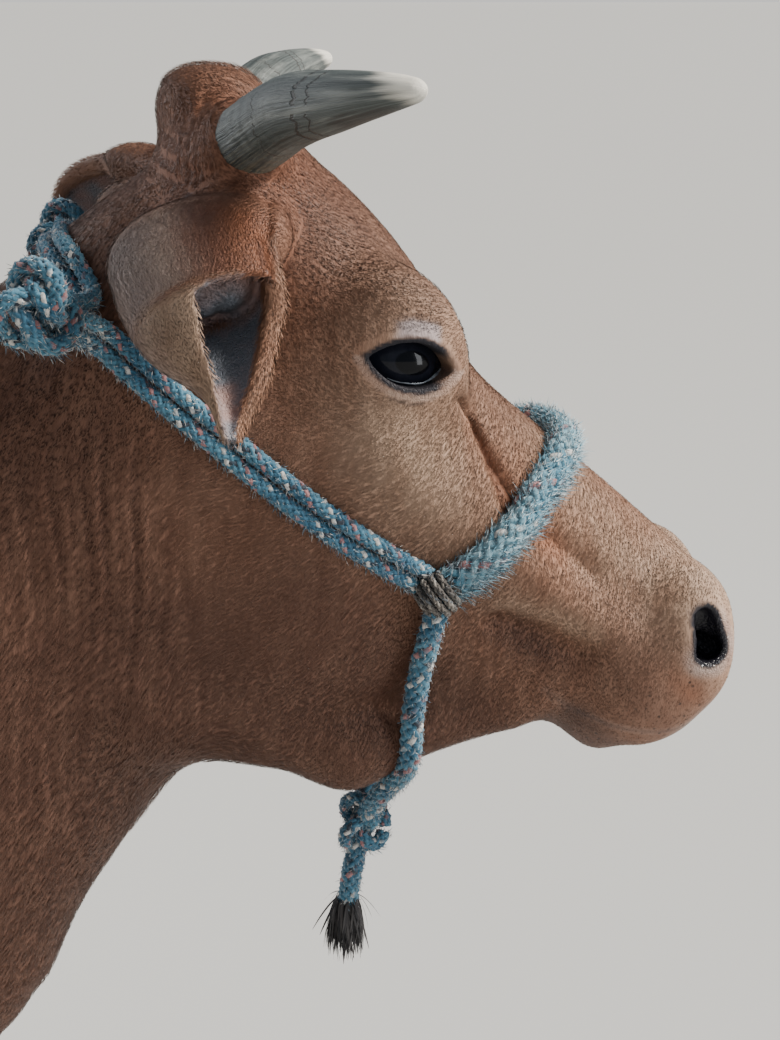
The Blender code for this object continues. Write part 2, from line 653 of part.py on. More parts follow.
def knot_mesh(name, centre, size, turn):
    """A rounded knot with raised turns of rope about it."""
    bm = bmesh.new()
    bmesh.ops.create_uvsphere(bm, u_segments=8, v_segments=6, radius=1)
    bmesh.ops.transform(bm, matrix=Matrix.Diagonal((*size, 1)), verts=bm.verts)
    bmesh.ops.rotate(bm, cent=(0, 0, 0), matrix=Matrix.Rotation(turn, 3, "Y"), verts=bm.verts)
    bmesh.ops.translate(bm, vec=centre, verts=bm.verts)
    mesh = bpy.data.meshes.new(name)
    bm.to_mesh(mesh)
    bm.free()
    return mesh


def with_turns(obj, centre, size, turn):
    for tilt in (-32, 38):
        ring = [
            (0.86 * size[0] * math.cos(a) * 1.0, 0.96 * size[1] * math.sin(a), 0.0)
            for a in np.linspace(0, 2 * math.pi, 11)[:-1]
        ]
        spin = Matrix.Rotation(turn + math.radians(tilt), 3, "Y")
        line = np.array([list(spin @ Vector(r) + Vector(centre)) for r in ring])
        tool = bpy.data.objects.new("turn", loop_tube(line, 0.0055))
        bpy.context.scene.collection.objects.link(tool)
        combined(obj, tool, "UNION")
        bpy.data.objects.remove(tool)
    return obj


def loop_tube(line, radius):
    """A closed ring of rope through the places of the line."""
    bm = bmesh.new()
    count, middle = len(line), line.mean(axis=0)
    rings = []
    for i in range(count):
        tangent = line[(i + 1) % count] - line[i - 1]
        tangent /= np.linalg.norm(tangent)
        away = line[i] - middle
        away -= tangent * (away @ tangent)
        away /= np.linalg.norm(away)
        side = np.cross(tangent, away)
        rings.append([bm.verts.new(line[i] + radius * (a * away + b * side)) for a, b in circle(5)])
    for i in range(count):
        first, second = rings[i], rings[(i + 1) % count]
        for k in range(5):
            bm.faces.new((first[k], first[(k + 1) % 5], second[(k + 1) % 5], second[k]))
    bmesh.ops.recalc_face_normals(bm, faces=bm.faces)
    mesh = bpy.data.meshes.new("turn")
    bm.to_mesh(mesh)
    bm.free()
    return mesh


def lock_mesh(random, root, length, spread, width):
    """One flat tapered lock of the tail's hair, bending outwards and back in."""
    stations = 5
    aim = random.uniform(0, 2 * math.pi)
    out = np.array((math.cos(aim), math.sin(aim), 0.0))
    side = np.array((-out[1], out[0], 0.0))
    bend = random.uniform(0.5, 1.0) * spread
    bm = bmesh.new()
    rings = []
    for i in range(stations):
        t = i / (stations - 1)
        centre = root + out * (0.004 + bend * math.sin(2.2 * t)) + np.array((0, 0, -length * t))
        half = width * (0.55 + 1.2 * t - 1.6 * t * t) + 0.001
        thick = 0.0055 * (1 - 0.75 * t) + 0.0006
        rings.append([bm.verts.new(centre + a * half * side + b * thick * out) for a, b in circle(6)])
    for first, second in zip(rings[:-1], rings[1:]):
        for k in range(6):
            bm.faces.new((first[k], first[(k + 1) % 6], second[(k + 1) % 6], second[k]))
    bm.faces.new(rings[0][::-1])
    bm.faces.new(rings[-1])
    bmesh.ops.recalc_face_normals(bm, faces=bm.faces)
    mesh = bpy.data.meshes.new("lock")
    bm.to_mesh(mesh)
    bm.free()
    return mesh


def main():
    for obj in list(bpy.data.objects):
        bpy.data.objects.remove(obj)
    random = np.random.default_rng(7)

    # flesh: meshed twice, finely for the head, and parted by planes and boxes
    head = placed("head", meshed("head", flesh, (0.66, -0.16, 0.86), (1.12, 0.16, 1.44), HEAD_VOXEL), PALE)
    thinned(head, 2700)
    sliced(head, (0.702 + GAP, 0, 1.15), (-1, 0, -0.06))
    neck = placed("neck", meshed("body", flesh, (-1.14, -0.36, 0.03), (0.78, 0.36, 1.38), BODY_VOXEL), RED_BROWN)
    thinned(neck, 3800)
    sliced(neck, (0.702, 0, 1.15), (1, 0, 0.06))
    torso = copied(neck, "torso", RED_BROWN)
    sliced(neck, (0.410 + GAP, 0, 0.98), (-0.92, 0, -0.39))
    sliced(torso, (0.410, 0, 0.98), (0.92, 0, 0.39))
    for name, inner, outline in (("foreleg", 0.075, FORELEG_CUT), ("hindleg", 0.060, HINDLEG_CUT)):
        for word, side in (("left", 1), ("right", -1)):
            leg = copied(torso, f"{name}_{word}", RED_BROWN)
            blocked(leg, outline, *sorted((side * inner, side * 0.45)), "INTERSECT")
            sliced(leg, (0, 0, 0.082), (0, 0, -1))
            blocked(torso, widened(outline, GAP), *sorted((side * (inner - GAP), side * 0.5)), "DIFFERENCE")
            x = 0.262 if name == "foreleg" else -0.902
            y0 = side * (0.145 if name == "foreleg" else 0.150)
            form = lambda p, x=x, y0=y0: hoof_form(p, x, y0)
            hoof = placed(
                f"hoof_{'fore' if name == 'foreleg' else 'hind'}_{word}",
                meshed("hoof", form, (x - 0.07, y0 - 0.07, -0.01), (x + 0.11, y0 + 0.07, 0.12), HOOF_VOXEL),
                (0.12, 0.11, 0.10),
            )
            thinned(hoof, 150)
            sliced(hoof, (0, 0, 0), (0, 0, -1))
            sliced(hoof, (0, 0, 0.082 - GAP), (0, 0, 1))

    udder = placed("udder", meshed("udder", udder_form, (-0.9, -0.16, 0.38), (-0.5, 0.16, 0.72), 0.008), PALE)
    thinned(udder, 260)
    trimmed(udder, torso)
    for name in ("hindleg_left", "hindleg_right"):
        trimmed(udder, bpy.data.objects[name])

    # tail and its hair
    line = smooth_line(TAIL_LINE, 16)
    sizes = np.interp(np.linspace(0, 1, 16), (0, 0.2, 0.5, 1), (0.036, 0.028, 0.018, 0.0125))
    tail = placed("tail", swept("tail", line, circle(10), sizes), RED_BROWN)
    trimmed(tail, torso)
    bunch = bpy.data.collections.new("locks")
    bpy.context.scene.collection.children.link(bunch)
    switch = placed("tail_switch", swept("core", smooth_line(
        ((-1.082, 0, 0.578), (-1.081, 0, 0.45), (-1.078, 0, 0.32)), 6), circle(8),
        (0.0175, 0.022, 0.024, 0.020, 0.013, 0.004)), (0.10, 0.07, 0.05))
    for i in range(16):
        root = np.array((-1.082, 0.0, 0.560 - 0.012 * (i % 8)))
        lock = bpy.data.objects.new("lock", lock_mesh(random, root, random.uniform(0.20, 0.29), 0.020, 0.011))
        bunch.objects.link(lock)
    step = switch.modifiers.new("join", "BOOLEAN")
    step.operation, step.solver, step.operand_type, step.collection = "UNION", "EXACT", "COLLECTION", bunch
    baked(switch)
    for lock in list(bunch.objects):
        bpy.data.objects.remove(lock)
    bpy.data.collections.remove(bunch)
    trimmed(switch, tail)

    # eyes, ears, horns
    ears = {}
    for word, side in (("left", 1), ("right", -1)):
        bm = bmesh.new()
        bmesh.ops.create_uvsphere(bm, u_segments=12, v_segments=8, radius=EYE_RADIUS)
        centre = head_point(EYE[0], side * EYE[1], EYE[2])
        bmesh.ops.translate(bm, vec=centre, verts=bm.verts)
        mesh = bpy.data.meshes.new("eye")
        bm.to_mesh(mesh)
        bm.free()
        eye = placed(f"eye_{word}", mesh, (0.02, 0.02, 0.03), 0.1)
        trimmed(head, eye, 0.0006)
        left, right = (LEFT_EAR, LEFT_EAR_FACES, LEFT_EAR_SHAPE), (RIGHT_EAR, RIGHT_EAR_FACES, RIGHT_EAR_SHAPE)
        ear = placed(f"ear_{word}", ear_mesh("ear", side, *(left if side > 0 else right)), RED_BROWN)
        step = ear.modifiers.new("thick", "SOLIDIFY")
        step.thickness, step.offset = 0.0055, 0.0
        baked(ear)
        bm = bmesh.new()
        bm.from_mesh(ear.data)
        bmesh.ops.recalc_face_normals(bm, faces=bm.faces)
        bm.to_mesh(ear.data)
        bm.free()
        trimmed(ear, head)
        trimmed(ear, neck)
        line = smooth_line([(x, side * y, z) for x, y, z in HORN_LINE], 10)
        table = np.array(HORN_SIZES).T
        sizes = curve_through(table[0], table[1])(np.linspace(0, 1, 10))
        horn = placed(f"horn_{word}", swept("horn", line, circle(9), sizes), HORN, 0.45)
        trimmed(horn, head)
        trimmed(ear, horn)
        ears[word] = ear

    # halter: knots first, then the ropes between them, each cut to clear skin and knots
    knots = {}
    for name, centre, size in (
        ("cheek_knot", CHEEK_KNOT, (0.0150, 0.0130, 0.0140)),
        ("neck_knot", NECK_KNOT, (0.0230, 0.0170, 0.0270)),
    ):
        for word, side in (("left", 1), ("right", -1)):
            place = (centre[0], side * centre[1], centre[2])
            knot = placed(f"{name}_{word}", knot_mesh(name, place, size, 0.6), BLUE, 0.8)
            with_turns(knot, place, size, 0.6)
            trimmed(knot, head if name == "cheek_knot" else neck)
            trimmed(ears[word], knot)
            knots[name, word] = knot
    knot = placed("chin_knot", knot_mesh("chin_knot", CHIN_KNOT, (0.016, 0.018, 0.022), 0.2), BLUE, 0.8)
    with_turns(knot, CHIN_KNOT, (0.018, 0.020, 0.018), 0.2)
    knots["chin"] = knot

    ropes = []
    for word, side in (("left", 1), ("right", -1)):
        places = [(x, side * y, z) for x, y, z in (
            (0.682, 0.110, 1.276), (0.716, 0.1, 1.246), (0.767, 0.1, 1.200), (0.822, 0.095, 1.152), (0.878, 0.092, 1.111),
        )]
        line, outward = laid(flesh, places, STRAND * 0.9, 15, 0.03)
        rope = placed(f"cheek_rope_{word}", swept("rope", line, two_strands(STRAND), np.ones(15), outward), BLUE, 0.8)
        ropes.append((rope, [knots["cheek_knot", word], knots["neck_knot", word]]))
        places = [(0.885, side * 0.094, 1.100), (0.868, side * 0.055, 1.000), CHIN_KNOT]
        line, outward = laid(flesh, places, CHIN_ROPE * 0.95, 12)
        rope = placed(f"chin_rope_{word}", swept("rope", line, circle(7), np.full(12, CHIN_ROPE)), BLUE, 0.8)
        ropes.append((rope, [knots["cheek_knot", word], knots["chin"]]))
    places = [(0.889, -0.092, 1.108), (0.925, -0.072, 1.140), (0.962, -0.040, 1.166), (0.979, 0, 1.174),
              (0.962, 0.040, 1.166), (0.925, 0.072, 1.140), (0.889, 0.092, 1.108)]
    line, outward = laid(flesh, places, BAND * 0.92, 21, 0.03, 0.02)
    rope = placed("nose_band", swept("rope", line, circle(8), np.full(21, BAND), outward), BLUE, 0.8)
    ropes.append((rope, [knots["cheek_knot", "left"], knots["cheek_knot", "right"]]))
    places = [(0.672, -0.112, 1.290), (0.668, -0.060, 1.312), CROWN_TOP, (0.668, 0.060, 1.312), (0.672, 0.112, 1.290)]
    line, outward = laid(flesh, places, STRAND * 0.9, 15, 0.04)
    rope = placed("crown_rope", swept("rope", line, two_strands(STRAND), np.ones(15), outward), BLUE, 0.8)
    ropes.append((rope, [knots["neck_knot", "left"], knots["neck_knot", "right"]]))
    line = smooth_line((CHIN_KNOT, (0.843, -0.006, 0.870), (0.839, -0.002, 0.825)), 7)
    rope = placed("rope_end", swept("rope", line, circle(8), (0.008, 0.008, 0.008, 0.008, 0.009, 0.010, 0.006)), BLUE, 0.9)
    ropes.append((rope, [knots["chin"]]))
    for rope, ends in ropes:
        for end in ends:
            trimmed(rope, end)
        for part in (head, neck):
            trimmed(rope, part)

    total = 0
    low, high = np.full(3, 9.0), np.full(3, -9.0)
    for obj in bpy.context.scene.collection.objects:
        obj.data.calc_loop_triangles()
        total += len(obj.data.loop_triangles)
        points = np.array([v.co[:] for v in obj.data.vertices])
        low, high = np.minimum(low, points.min(axis=0)), np.maximum(high, points.max(axis=0))
        print(obj.name, len(obj.data.loop_triangles))
    print("triangles", total, "box", np.round(low, 4), np.round(high, 4))


main()
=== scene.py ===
# %% [markdown]
# # A jersey-cross cow, life size
# A cow stands still, in a soft blue rope halter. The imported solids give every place: this script
# dresses them. It works from the flesh outwards: one skin for the whole animal, then eyes, horns and
# hooves, then the short coat, and last the ropes. Everything is in metres, +X towards the muzzle.

import json
import math
from functools import reduce

import bmesh
import bpy
import numpy as np
import openvdb
from mathutils import Matrix, Vector

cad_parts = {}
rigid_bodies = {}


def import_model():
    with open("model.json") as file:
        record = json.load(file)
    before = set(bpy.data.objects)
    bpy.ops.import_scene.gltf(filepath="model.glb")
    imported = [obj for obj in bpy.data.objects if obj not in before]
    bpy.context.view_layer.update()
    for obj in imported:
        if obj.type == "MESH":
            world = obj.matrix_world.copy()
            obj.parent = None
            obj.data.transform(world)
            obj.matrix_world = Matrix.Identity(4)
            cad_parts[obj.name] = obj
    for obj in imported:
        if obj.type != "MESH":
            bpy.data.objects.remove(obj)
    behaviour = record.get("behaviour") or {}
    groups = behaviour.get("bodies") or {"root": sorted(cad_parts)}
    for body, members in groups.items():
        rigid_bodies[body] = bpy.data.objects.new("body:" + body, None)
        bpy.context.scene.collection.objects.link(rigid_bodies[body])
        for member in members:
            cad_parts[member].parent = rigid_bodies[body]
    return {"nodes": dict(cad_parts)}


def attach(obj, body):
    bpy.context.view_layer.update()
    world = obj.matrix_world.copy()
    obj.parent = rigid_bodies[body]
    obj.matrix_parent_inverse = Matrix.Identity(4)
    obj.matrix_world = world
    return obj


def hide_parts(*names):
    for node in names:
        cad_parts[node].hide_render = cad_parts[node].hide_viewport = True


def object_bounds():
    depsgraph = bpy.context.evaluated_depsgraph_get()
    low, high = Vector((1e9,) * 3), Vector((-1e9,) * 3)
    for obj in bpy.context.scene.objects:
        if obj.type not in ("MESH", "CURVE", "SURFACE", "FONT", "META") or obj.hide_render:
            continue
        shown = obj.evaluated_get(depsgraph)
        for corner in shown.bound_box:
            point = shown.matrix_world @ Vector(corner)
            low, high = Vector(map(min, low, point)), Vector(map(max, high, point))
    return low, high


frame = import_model()
cad_box = [list(corner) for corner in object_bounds()]
scene = bpy.context.scene
print("solids:", len(frame["nodes"]), "box", np.round(cad_box, 3).tolist())

# %% [markdown]
# ## Camera and light
# A photograph taken close to an animal bends its proportions, so the camera is set first, at the
# place a person holding a telephone would have: under a metre away, a little above, looking down.
# The light is soft and comes from ahead and above, so that the bridge of the nose is bright and the
# cheek lies in its own shade.

# %% Camera
LOOK_AT = Vector((0.87, 0.0, 1.12))
PITCH, TURN, DISTANCE = math.radians(19.1), math.radians(8.4), 0.95
towards = Vector((math.sin(TURN) * math.cos(PITCH), math.cos(TURN) * math.cos(PITCH), -math.sin(PITCH)))
camera = bpy.data.objects.new("camera", bpy.data.cameras.new("camera"))
scene.collection.objects.link(camera)
camera.location = LOOK_AT - DISTANCE * towards
camera.rotation_euler = towards.to_track_quat("-Z", "Y").to_euler()
camera.data.lens, camera.data.sensor_width = 51.923, 36
camera.data.clip_start, camera.data.clip_end = 0.05, 5000
scene.camera = camera
print("camera at", tuple(round(v, 3) for v in camera.location))

# %% Lights
def light_at(name, kind, place, target, watts, colour, **shape):
    data = bpy.data.lights.new(name, kind)
    data.energy, data.color = watts, colour
    for key, value in shape.items():
        setattr(data, key, value)
    light = bpy.data.objects.new(name, data)
    scene.collection.objects.link(light)
    light.location = place
    light.rotation_euler = (Vector(target) - Vector(place)).to_track_quat("-Z", "Y").to_euler()


light_at("key", "SUN", (3.2, -0.30, 2.9), (0.0, 0.0, 0.0), 7.2, (1.0, 0.94, 0.86), angle=math.radians(20))
light_at("strip", "AREA", (3.0, -1.75, 1.75), (0.9, 0, 1.15), 26, (0.95, 0.97, 1.0), shape="RECTANGLE", size=0.5, size_y=1.9)
light_at("back", "AREA", (-3.0, 2.4, 2.8), (0.0, 0, 0.9), 90, (0.95, 0.97, 1.0), shape="DISK", size=2.4)

# The surroundings light the animal softly, and look to the camera like more of the pale floor.
world = bpy.data.worlds.new("surroundings")
world.use_nodes = True
nodes, links = world.node_tree.nodes, world.node_tree.links
soft, seen = nodes["Background"], nodes.new("ShaderNodeBackground")
soft.inputs["Color"].default_value, soft.inputs["Strength"].default_value = (0.80, 0.89, 1.0, 1), 0.32
seen.inputs["Color"].default_value, seen.inputs["Strength"].default_value = (1.0, 0.99, 0.97, 1), 0.80
chosen = nodes.new("ShaderNodeMixShader")
links.new(nodes.new("ShaderNodeLightPath").outputs["Is Camera Ray"], chosen.inputs[0])
links.new(soft.outputs[0], chosen.inputs[1])
links.new(seen.outputs[0], chosen.inputs[2])
links.new(chosen.outputs[0], nodes["World Output"].inputs["Surface"])
scene.world = world

# %% Floor
floor_mesh = bpy.data.meshes.new("floor")
floor_mesh.from_pydata([(-1500, -1500, 0), (1500, -1500, 0), (1500, 1500, 0), (-1500, 1500, 0)], [], [(0, 1, 2, 3)])
floor = bpy.data.objects.new("floor", floor_mesh)
scene.collection.objects.link(floor)
floor_paint = bpy.data.materials.new("floor_paint")
floor_paint.use_nodes = True
floor_shader = floor_paint.node_tree.nodes["Principled BSDF"]
floor_shader.inputs["Roughness"].default_value = 0.85
floor_speckle = floor_paint.node_tree.nodes.new("ShaderNodeTexNoise")
floor_speckle.inputs["Scale"].default_value = 3.0
floor_tone = floor_paint.node_tree.nodes.new("ShaderNodeValToRGB")
floor_tone.color_ramp.elements[0].color = (0.50, 0.50, 0.485, 1)
floor_tone.color_ramp.elements[1].color = (0.55, 0.55, 0.535, 1)
floor_paint.node_tree.links.new(floor_speckle.outputs["Fac"], floor_tone.inputs["Fac"])
floor_paint.node_tree.links.new(floor_tone.outputs["Color"], floor_shader.inputs["Base Color"])
floor_mesh.materials.append(floor_paint)
print("three lights and a pale floor")

# %% [markdown]
# ## The flesh as one rounded form
# Flesh has no corners: muscle runs into bone and bone into muscle. So the body is a distance, a
# number for every place that says how far it lies from the surface. Rounded forms for each bone and
# muscle are blended by a short radius, which is how a sculptor in clay would add them. The numbers
# are those of the solids, so the skin lies where they are.

# %% Rounded forms and how they blend
POLL = (0.765, 0.0, 1.398)
HEAD_PITCH = math.radians(46)
HEAD_C, HEAD_S = math.cos(HEAD_PITCH), math.sin(HEAD_PITCH)
EYE_RADIUS, EYE, EYE_SLANT = 0.021, (0.1820, 0.0665, -0.0390), math.radians(33)


def curve_through(stations, places):
    x, y = np.asarray(stations, float), np.asarray(places, float)
    slope = np.diff(y) / np.diff(x)
    tangent = np.zeros_like(y)
    inner = slope[:-1] * slope[1:] > 0
    tangent[1:-1][inner] = 2 * slope[:-1][inner] * slope[1:][inner] / (slope[:-1] + slope[1:])[inner]
    tangent[0], tangent[-1] = slope[0], slope[-1]

    def value(at):
        at = np.clip(at, x[0], x[-1])
        i = np.clip(np.searchsorted(x, at) - 1, 0, len(x) - 2)
        width = x[i + 1] - x[i]
        t = (at - x[i]) / width
        ends = y[i] * (1 + 2 * t) * (1 - t) ** 2 + y[i + 1] * t * t * (3 - 2 * t)
        return ends + width * (tangent[i] * t * (1 - t) ** 2 - tangent[i + 1] * t * t * (1 - t))

    return value


def ramp(low, high, value):
    t = np.clip((value - low) / (high - low), 0, 1)
    return t * t * (3 - 2 * t)


def blend(a, b, radius):
    h = np.clip(0.5 + 0.5 * (b - a) / radius, 0, 1)
    return b + (a - b) * h - radius * h * (1 - h)


def blend_cut(a, b, radius):
    return -blend(-a, -b, radius)


def lofted(along, across, up, stations, cap):
    table = np.asarray(stations, float).T
    top, bottom, level, half, upper, lower = (curve_through(table[0], row)(along) for row in table[1:])
    above = up > level
    power = np.where(above, upper, lower)
    height = np.where(above, top - level, level - bottom)
    a, b = np.abs(across) / half, np.abs(up - level) / height
    rho = np.maximum((a**power + b**power) ** (1 / power), 1e-3)
    grade = rho ** (1 - power) * np.hypot(a ** (power - 1) / half, b ** (power - 1) / height)
    side = (rho - 1) / np.maximum(grade, 1.0)
    end = np.maximum(table[0][0] - along, along - table[0][-1])
    return blend_cut(side, end, cap)


def ball(p, centre, radii, tilt=0.0):
    c, s = math.cos(math.radians(tilt)), math.sin(math.radians(tilt))
    x, y, z = (p[i] - centre[i] for i in range(3))
    x, z = x * c - z * s, x * s + z * c
    near = np.sqrt((x / radii[0]) ** 2 + (y / radii[1]) ** 2 + (z / radii[2]) ** 2)
    far = np.sqrt((x / radii[0] ** 2) ** 2 + (y / radii[1] ** 2) ** 2 + (z / radii[2] ** 2) ** 2)
    return near * (near - 1) / np.maximum(far, 1e-6)


def limb(p, start, end, r_start, r_end, width=1.0):
    a, b = np.array(start, float), np.array(end, float)
    q = [p[i] - a[i] for i in range(3)]
    d = b - a
    t = np.clip((q[0] * d[0] + q[1] * d[1] + q[2] * d[2]) / (d @ d), 0, 1)
    x, y, z = (q[i] - t * d[i] for i in range(3))
    return np.sqrt(x * x + (y / width) ** 2 + z * z) - (r_start + (r_end - r_start) * t)


def joined(forms, whole):
    for distance, radius in forms:
        whole = blend(whole, distance, radius)
    return whole


def unit(a):
    return a / np.maximum(np.linalg.norm(a, axis=-1, keepdims=True), 1e-9)


def chain(p, places, sizes=None):
    """Limbs that join the places one after another, with a radius at each place."""
    sizes = [0.0] * len(places) if sizes is None else sizes
    ends = zip(places[:-1], places[1:], sizes[:-1], sizes[1:])
    return reduce(np.minimum, [limb(p, *pair) for pair in ends])

# %% [markdown]
# ### The head
# The head has a frame of its own, because its parts lie along the face: s runs from the poll to the
# muzzle, y across, and n out of the face. The lids, the nostrils and the line of the mouth are cut
# into the same form, so that they have soft lips and real depth.

# %% The head's forms
HEAD_STATIONS = (
    (0.026, -0.032, -0.150, -0.080, 0.050, 2.2, 2.0),
    (0.060, -0.014, -0.225, -0.075, 0.076, 2.3, 2.0),
    (0.110, -0.010, -0.280, -0.075, 0.088, 2.6, 1.9),
    (0.185, -0.012, -0.306, -0.080, 0.092, 2.8, 1.9),
    (0.250, -0.017, -0.311, -0.085, 0.083, 2.6, 2.0),
    (0.310, -0.012, -0.284, -0.080, 0.068, 2.2, 2.0),
    (0.350, -0.008, -0.250, -0.076, 0.060, 2.1, 1.9),
    (0.390, -0.005, -0.194, -0.070, 0.056, 2.1, 1.8),
    (0.430, -0.003, -0.150, -0.062, 0.056, 2.2, 2.0),
    (0.475, -0.012, -0.125, -0.062, 0.056, 2.4, 2.2),
    (0.508, -0.036, -0.098, -0.066, 0.044, 2.4, 2.4),
)
MOUTH = ((0.408, 0, -0.121), (0.433, 0, -0.120), (0.460, 0, -0.108), (0.487, 0, -0.088), (0.515, 0, -0.062))


def head_axes(p):
    x, z = p[0] - POLL[0], p[2] - POLL[2]
    return [x * HEAD_C - z * HEAD_S, p[1] - POLL[1], x * HEAD_S + z * HEAD_C]


def head_point(s, y, n):
    return np.array((POLL[0] + s * HEAD_C + n * HEAD_S, POLL[1] + y, POLL[2] - s * HEAD_S + n * HEAD_C))


def eye_axes(m):
    c, s = math.cos(EYE_SLANT), math.sin(EYE_SLANT)
    x, y, z = m[0] - EYE[0], m[1] - EYE[1], m[2] - EYE[2]
    inward, up = x * c + z * s, -x * s + z * c
    turn, lean = math.radians(14), math.radians(8)
    inward, out = inward * math.cos(turn) - y * math.sin(turn), inward * math.sin(turn) + y * math.cos(turn)
    up, out = up * math.cos(lean) - out * math.sin(lean), up * math.sin(lean) + out * math.cos(lean)
    return inward, up, out


LID_HALF, LID_ABOVE, LID_BELOW, LID_SHIFT = 0.0288, 0.0152, 0.0164, -0.0030
LID_UP_R = (LID_HALF**2 + LID_ABOVE**2) / (2 * LID_ABOVE)
LID_LOW_R = (LID_HALF**2 + LID_BELOW**2) / (2 * LID_BELOW)


def lid_lines(inward, up):
    """How far outside the almond of the eye's opening a place lies, by its upper and its lower arc."""
    upper = np.hypot(inward - LID_SHIFT, up - LID_ABOVE + LID_UP_R) - LID_UP_R
    lower = np.hypot(inward - LID_SHIFT, up + LID_BELOW - LID_LOW_R) - LID_LOW_R
    return upper, lower


def eyelids(skull, m):
    inward, up, out = eye_axes(m)
    lids = np.sqrt((inward / 1.12) ** 2 + up**2 + out**2) - (EYE_RADIUS + 0.0042)
    skull = blend(skull, lids, 0.012)
    upper, lower = lid_lines(inward, up)
    opening = np.maximum(np.maximum(upper, lower), 0.0085 - out)
    fold = np.maximum(np.maximum(np.abs(upper - 0.0105) - 0.0010, np.abs(inward + 0.006) - 0.018), -up)
    under = np.maximum(np.maximum(np.abs(lower - 0.0050) - 0.0005, np.abs(inward + 0.002) - 0.012), up)
    fold = np.maximum(np.minimum(fold, under), -0.0025 - skull)
    return blend_cut(blend_cut(skull, -opening, 0.002), -fold, 0.003)


def nostril_form(m):
    """The hole of the nostril, a short drop that turns inwards below."""
    inner = limb(m, (0.466, 0.051, -0.030), (0.428, 0.022, -0.046), 0.0100, 0.007)
    return joined([(inner, 0.006)], limb(m, (0.4440, 0.0590, -0.0200), (0.4590, 0.0585, -0.0300), 0.0105, 0.0135))


def head_form(p):
    q = head_axes(p)
    m = [q[0], np.abs(q[1]), q[2]]
    whole = joined(
        [
            (ball(m, (0.027, 0.0, -0.018), (0.034, 0.043, 0.028)), 0.020),      # bump of the poll
            (ball(m, (0.052, 0.046, -0.034), (0.030, 0.034, 0.028)), 0.020),    # seat of the horn
            (limb(m, (0.044, 0.030, -0.038), (0.041, 0.064, -0.017), 0.022, 0.0215), 0.010),  # its sleeve of skin
            (ball(m, (0.118, 0.0, -0.034), (0.088, 0.060, 0.036)), 0.030),      # forehead
            (ball(m, (0.178, 0.072, -0.032), (0.044, 0.026, 0.032), 20), 0.020),  # rim of the eye socket
            (limb(m, (0.215, 0.080, -0.082), (0.335, 0.052, -0.082), 0.018, 0.012), 0.030),  # cheek bone
            (ball(m, (0.225, 0.052, -0.180), (0.090, 0.034, 0.090), 30), 0.035),  # chewing muscle
            (limb(m, (0.225, 0.048, -0.290), (0.345, 0.042, -0.234), 0.026, 0.020), 0.030),  # lower jaw
            (limb(m, (0.345, 0.042, -0.234), (0.405, 0.026, -0.150), 0.020, 0.014), 0.025),
            (ball(m, (0.452, 0.036, -0.034), (0.042, 0.028, 0.030), 35), 0.018),  # wing of the nostril
            (ball(m, (0.448, 0.0, -0.078), (0.056, 0.061, 0.036), 25), 0.020),    # upper lip
            (ball(m, (0.452, 0.0, -0.109), (0.040, 0.043, 0.021), 28), 0.010),    # chin
            (limb(m, (0.322, 0.050, -0.078), (0.408, 0.050, -0.066), 0.013, 0.011), 0.015),  # fold to the lip
        ],
        lofted(q[0], q[1], q[2], HEAD_STATIONS, 0.03),
    )
    whole = blend_cut(whole, -ball(m, (0.122, 0.108, -0.078), (0.040, 0.018, 0.032), 35), 0.02)
    whole = blend_cut(whole, -limb(m, (0.350, 0.072, -0.100), (0.405, 0.070, -0.086), 0.010, 0.008), 0.016)
    flat = [m[0], 0 * m[1], m[2]]
    crease = limb(flat, (0.222, 0, -0.030), (0.302, 0, -0.052), 0.003, 0.003)
    whole = blend_cut(whole, -np.maximum(crease, -0.0035 - whole), 0.010)
    whole = eyelids(whole, m)
    whole = blend_cut(whole, -nostril_form(m), 0.006)
    line = chain(flat, MOUTH, [0.0010] * len(MOUTH))
    return blend_cut(whole, -np.maximum(line, -0.006 - whole), 0.004)


print("the head's length along the face:", HEAD_STATIONS[-1][0] - HEAD_STATIONS[0][0])

# %% [markdown]
# ### Trunk, neck, legs, udder and tail
# The rest is made the same way. The udder and the root of the tail are blended on here with a wider
# radius than in the solids, because on the animal they have no seam.

# %% The body's forms
TRUNK_STATIONS = (
    (-1.06, 1.130, 0.950, 1.030, 0.075, 2.0, 2.0),
    (-0.98, 1.195, 0.840, 1.020, 0.140, 2.1, 2.0),
    (-0.84, 1.213, 0.700, 0.980, 0.195, 2.2, 2.0),
    (-0.68, 1.218, 0.610, 0.930, 0.235, 2.1, 2.0),
    (-0.48, 1.200, 0.545, 0.850, 0.275, 2.1, 2.1),
    (-0.22, 1.184, 0.515, 0.810, 0.285, 2.0, 2.1),
    (0.02, 1.196, 0.525, 0.810, 0.240, 1.8, 2.0),
    (0.17, 1.220, 0.550, 0.830, 0.190, 1.6, 1.9),
    (0.32, 1.226, 0.585, 0.860, 0.155, 1.7, 1.8),
    (0.46, 1.232, 0.640, 0.930, 0.125, 1.8, 1.7),
    (0.58, 1.248, 0.745, 1.010, 0.102, 1.9, 1.7),
    (0.65, 1.277, 0.850, 1.070, 0.092, 2.0, 1.8),
    (0.71, 1.312, 0.940, 1.130, 0.083, 2.0, 1.9),
    (0.76, 1.325, 1.000, 1.170, 0.070, 2.0, 2.0),
)


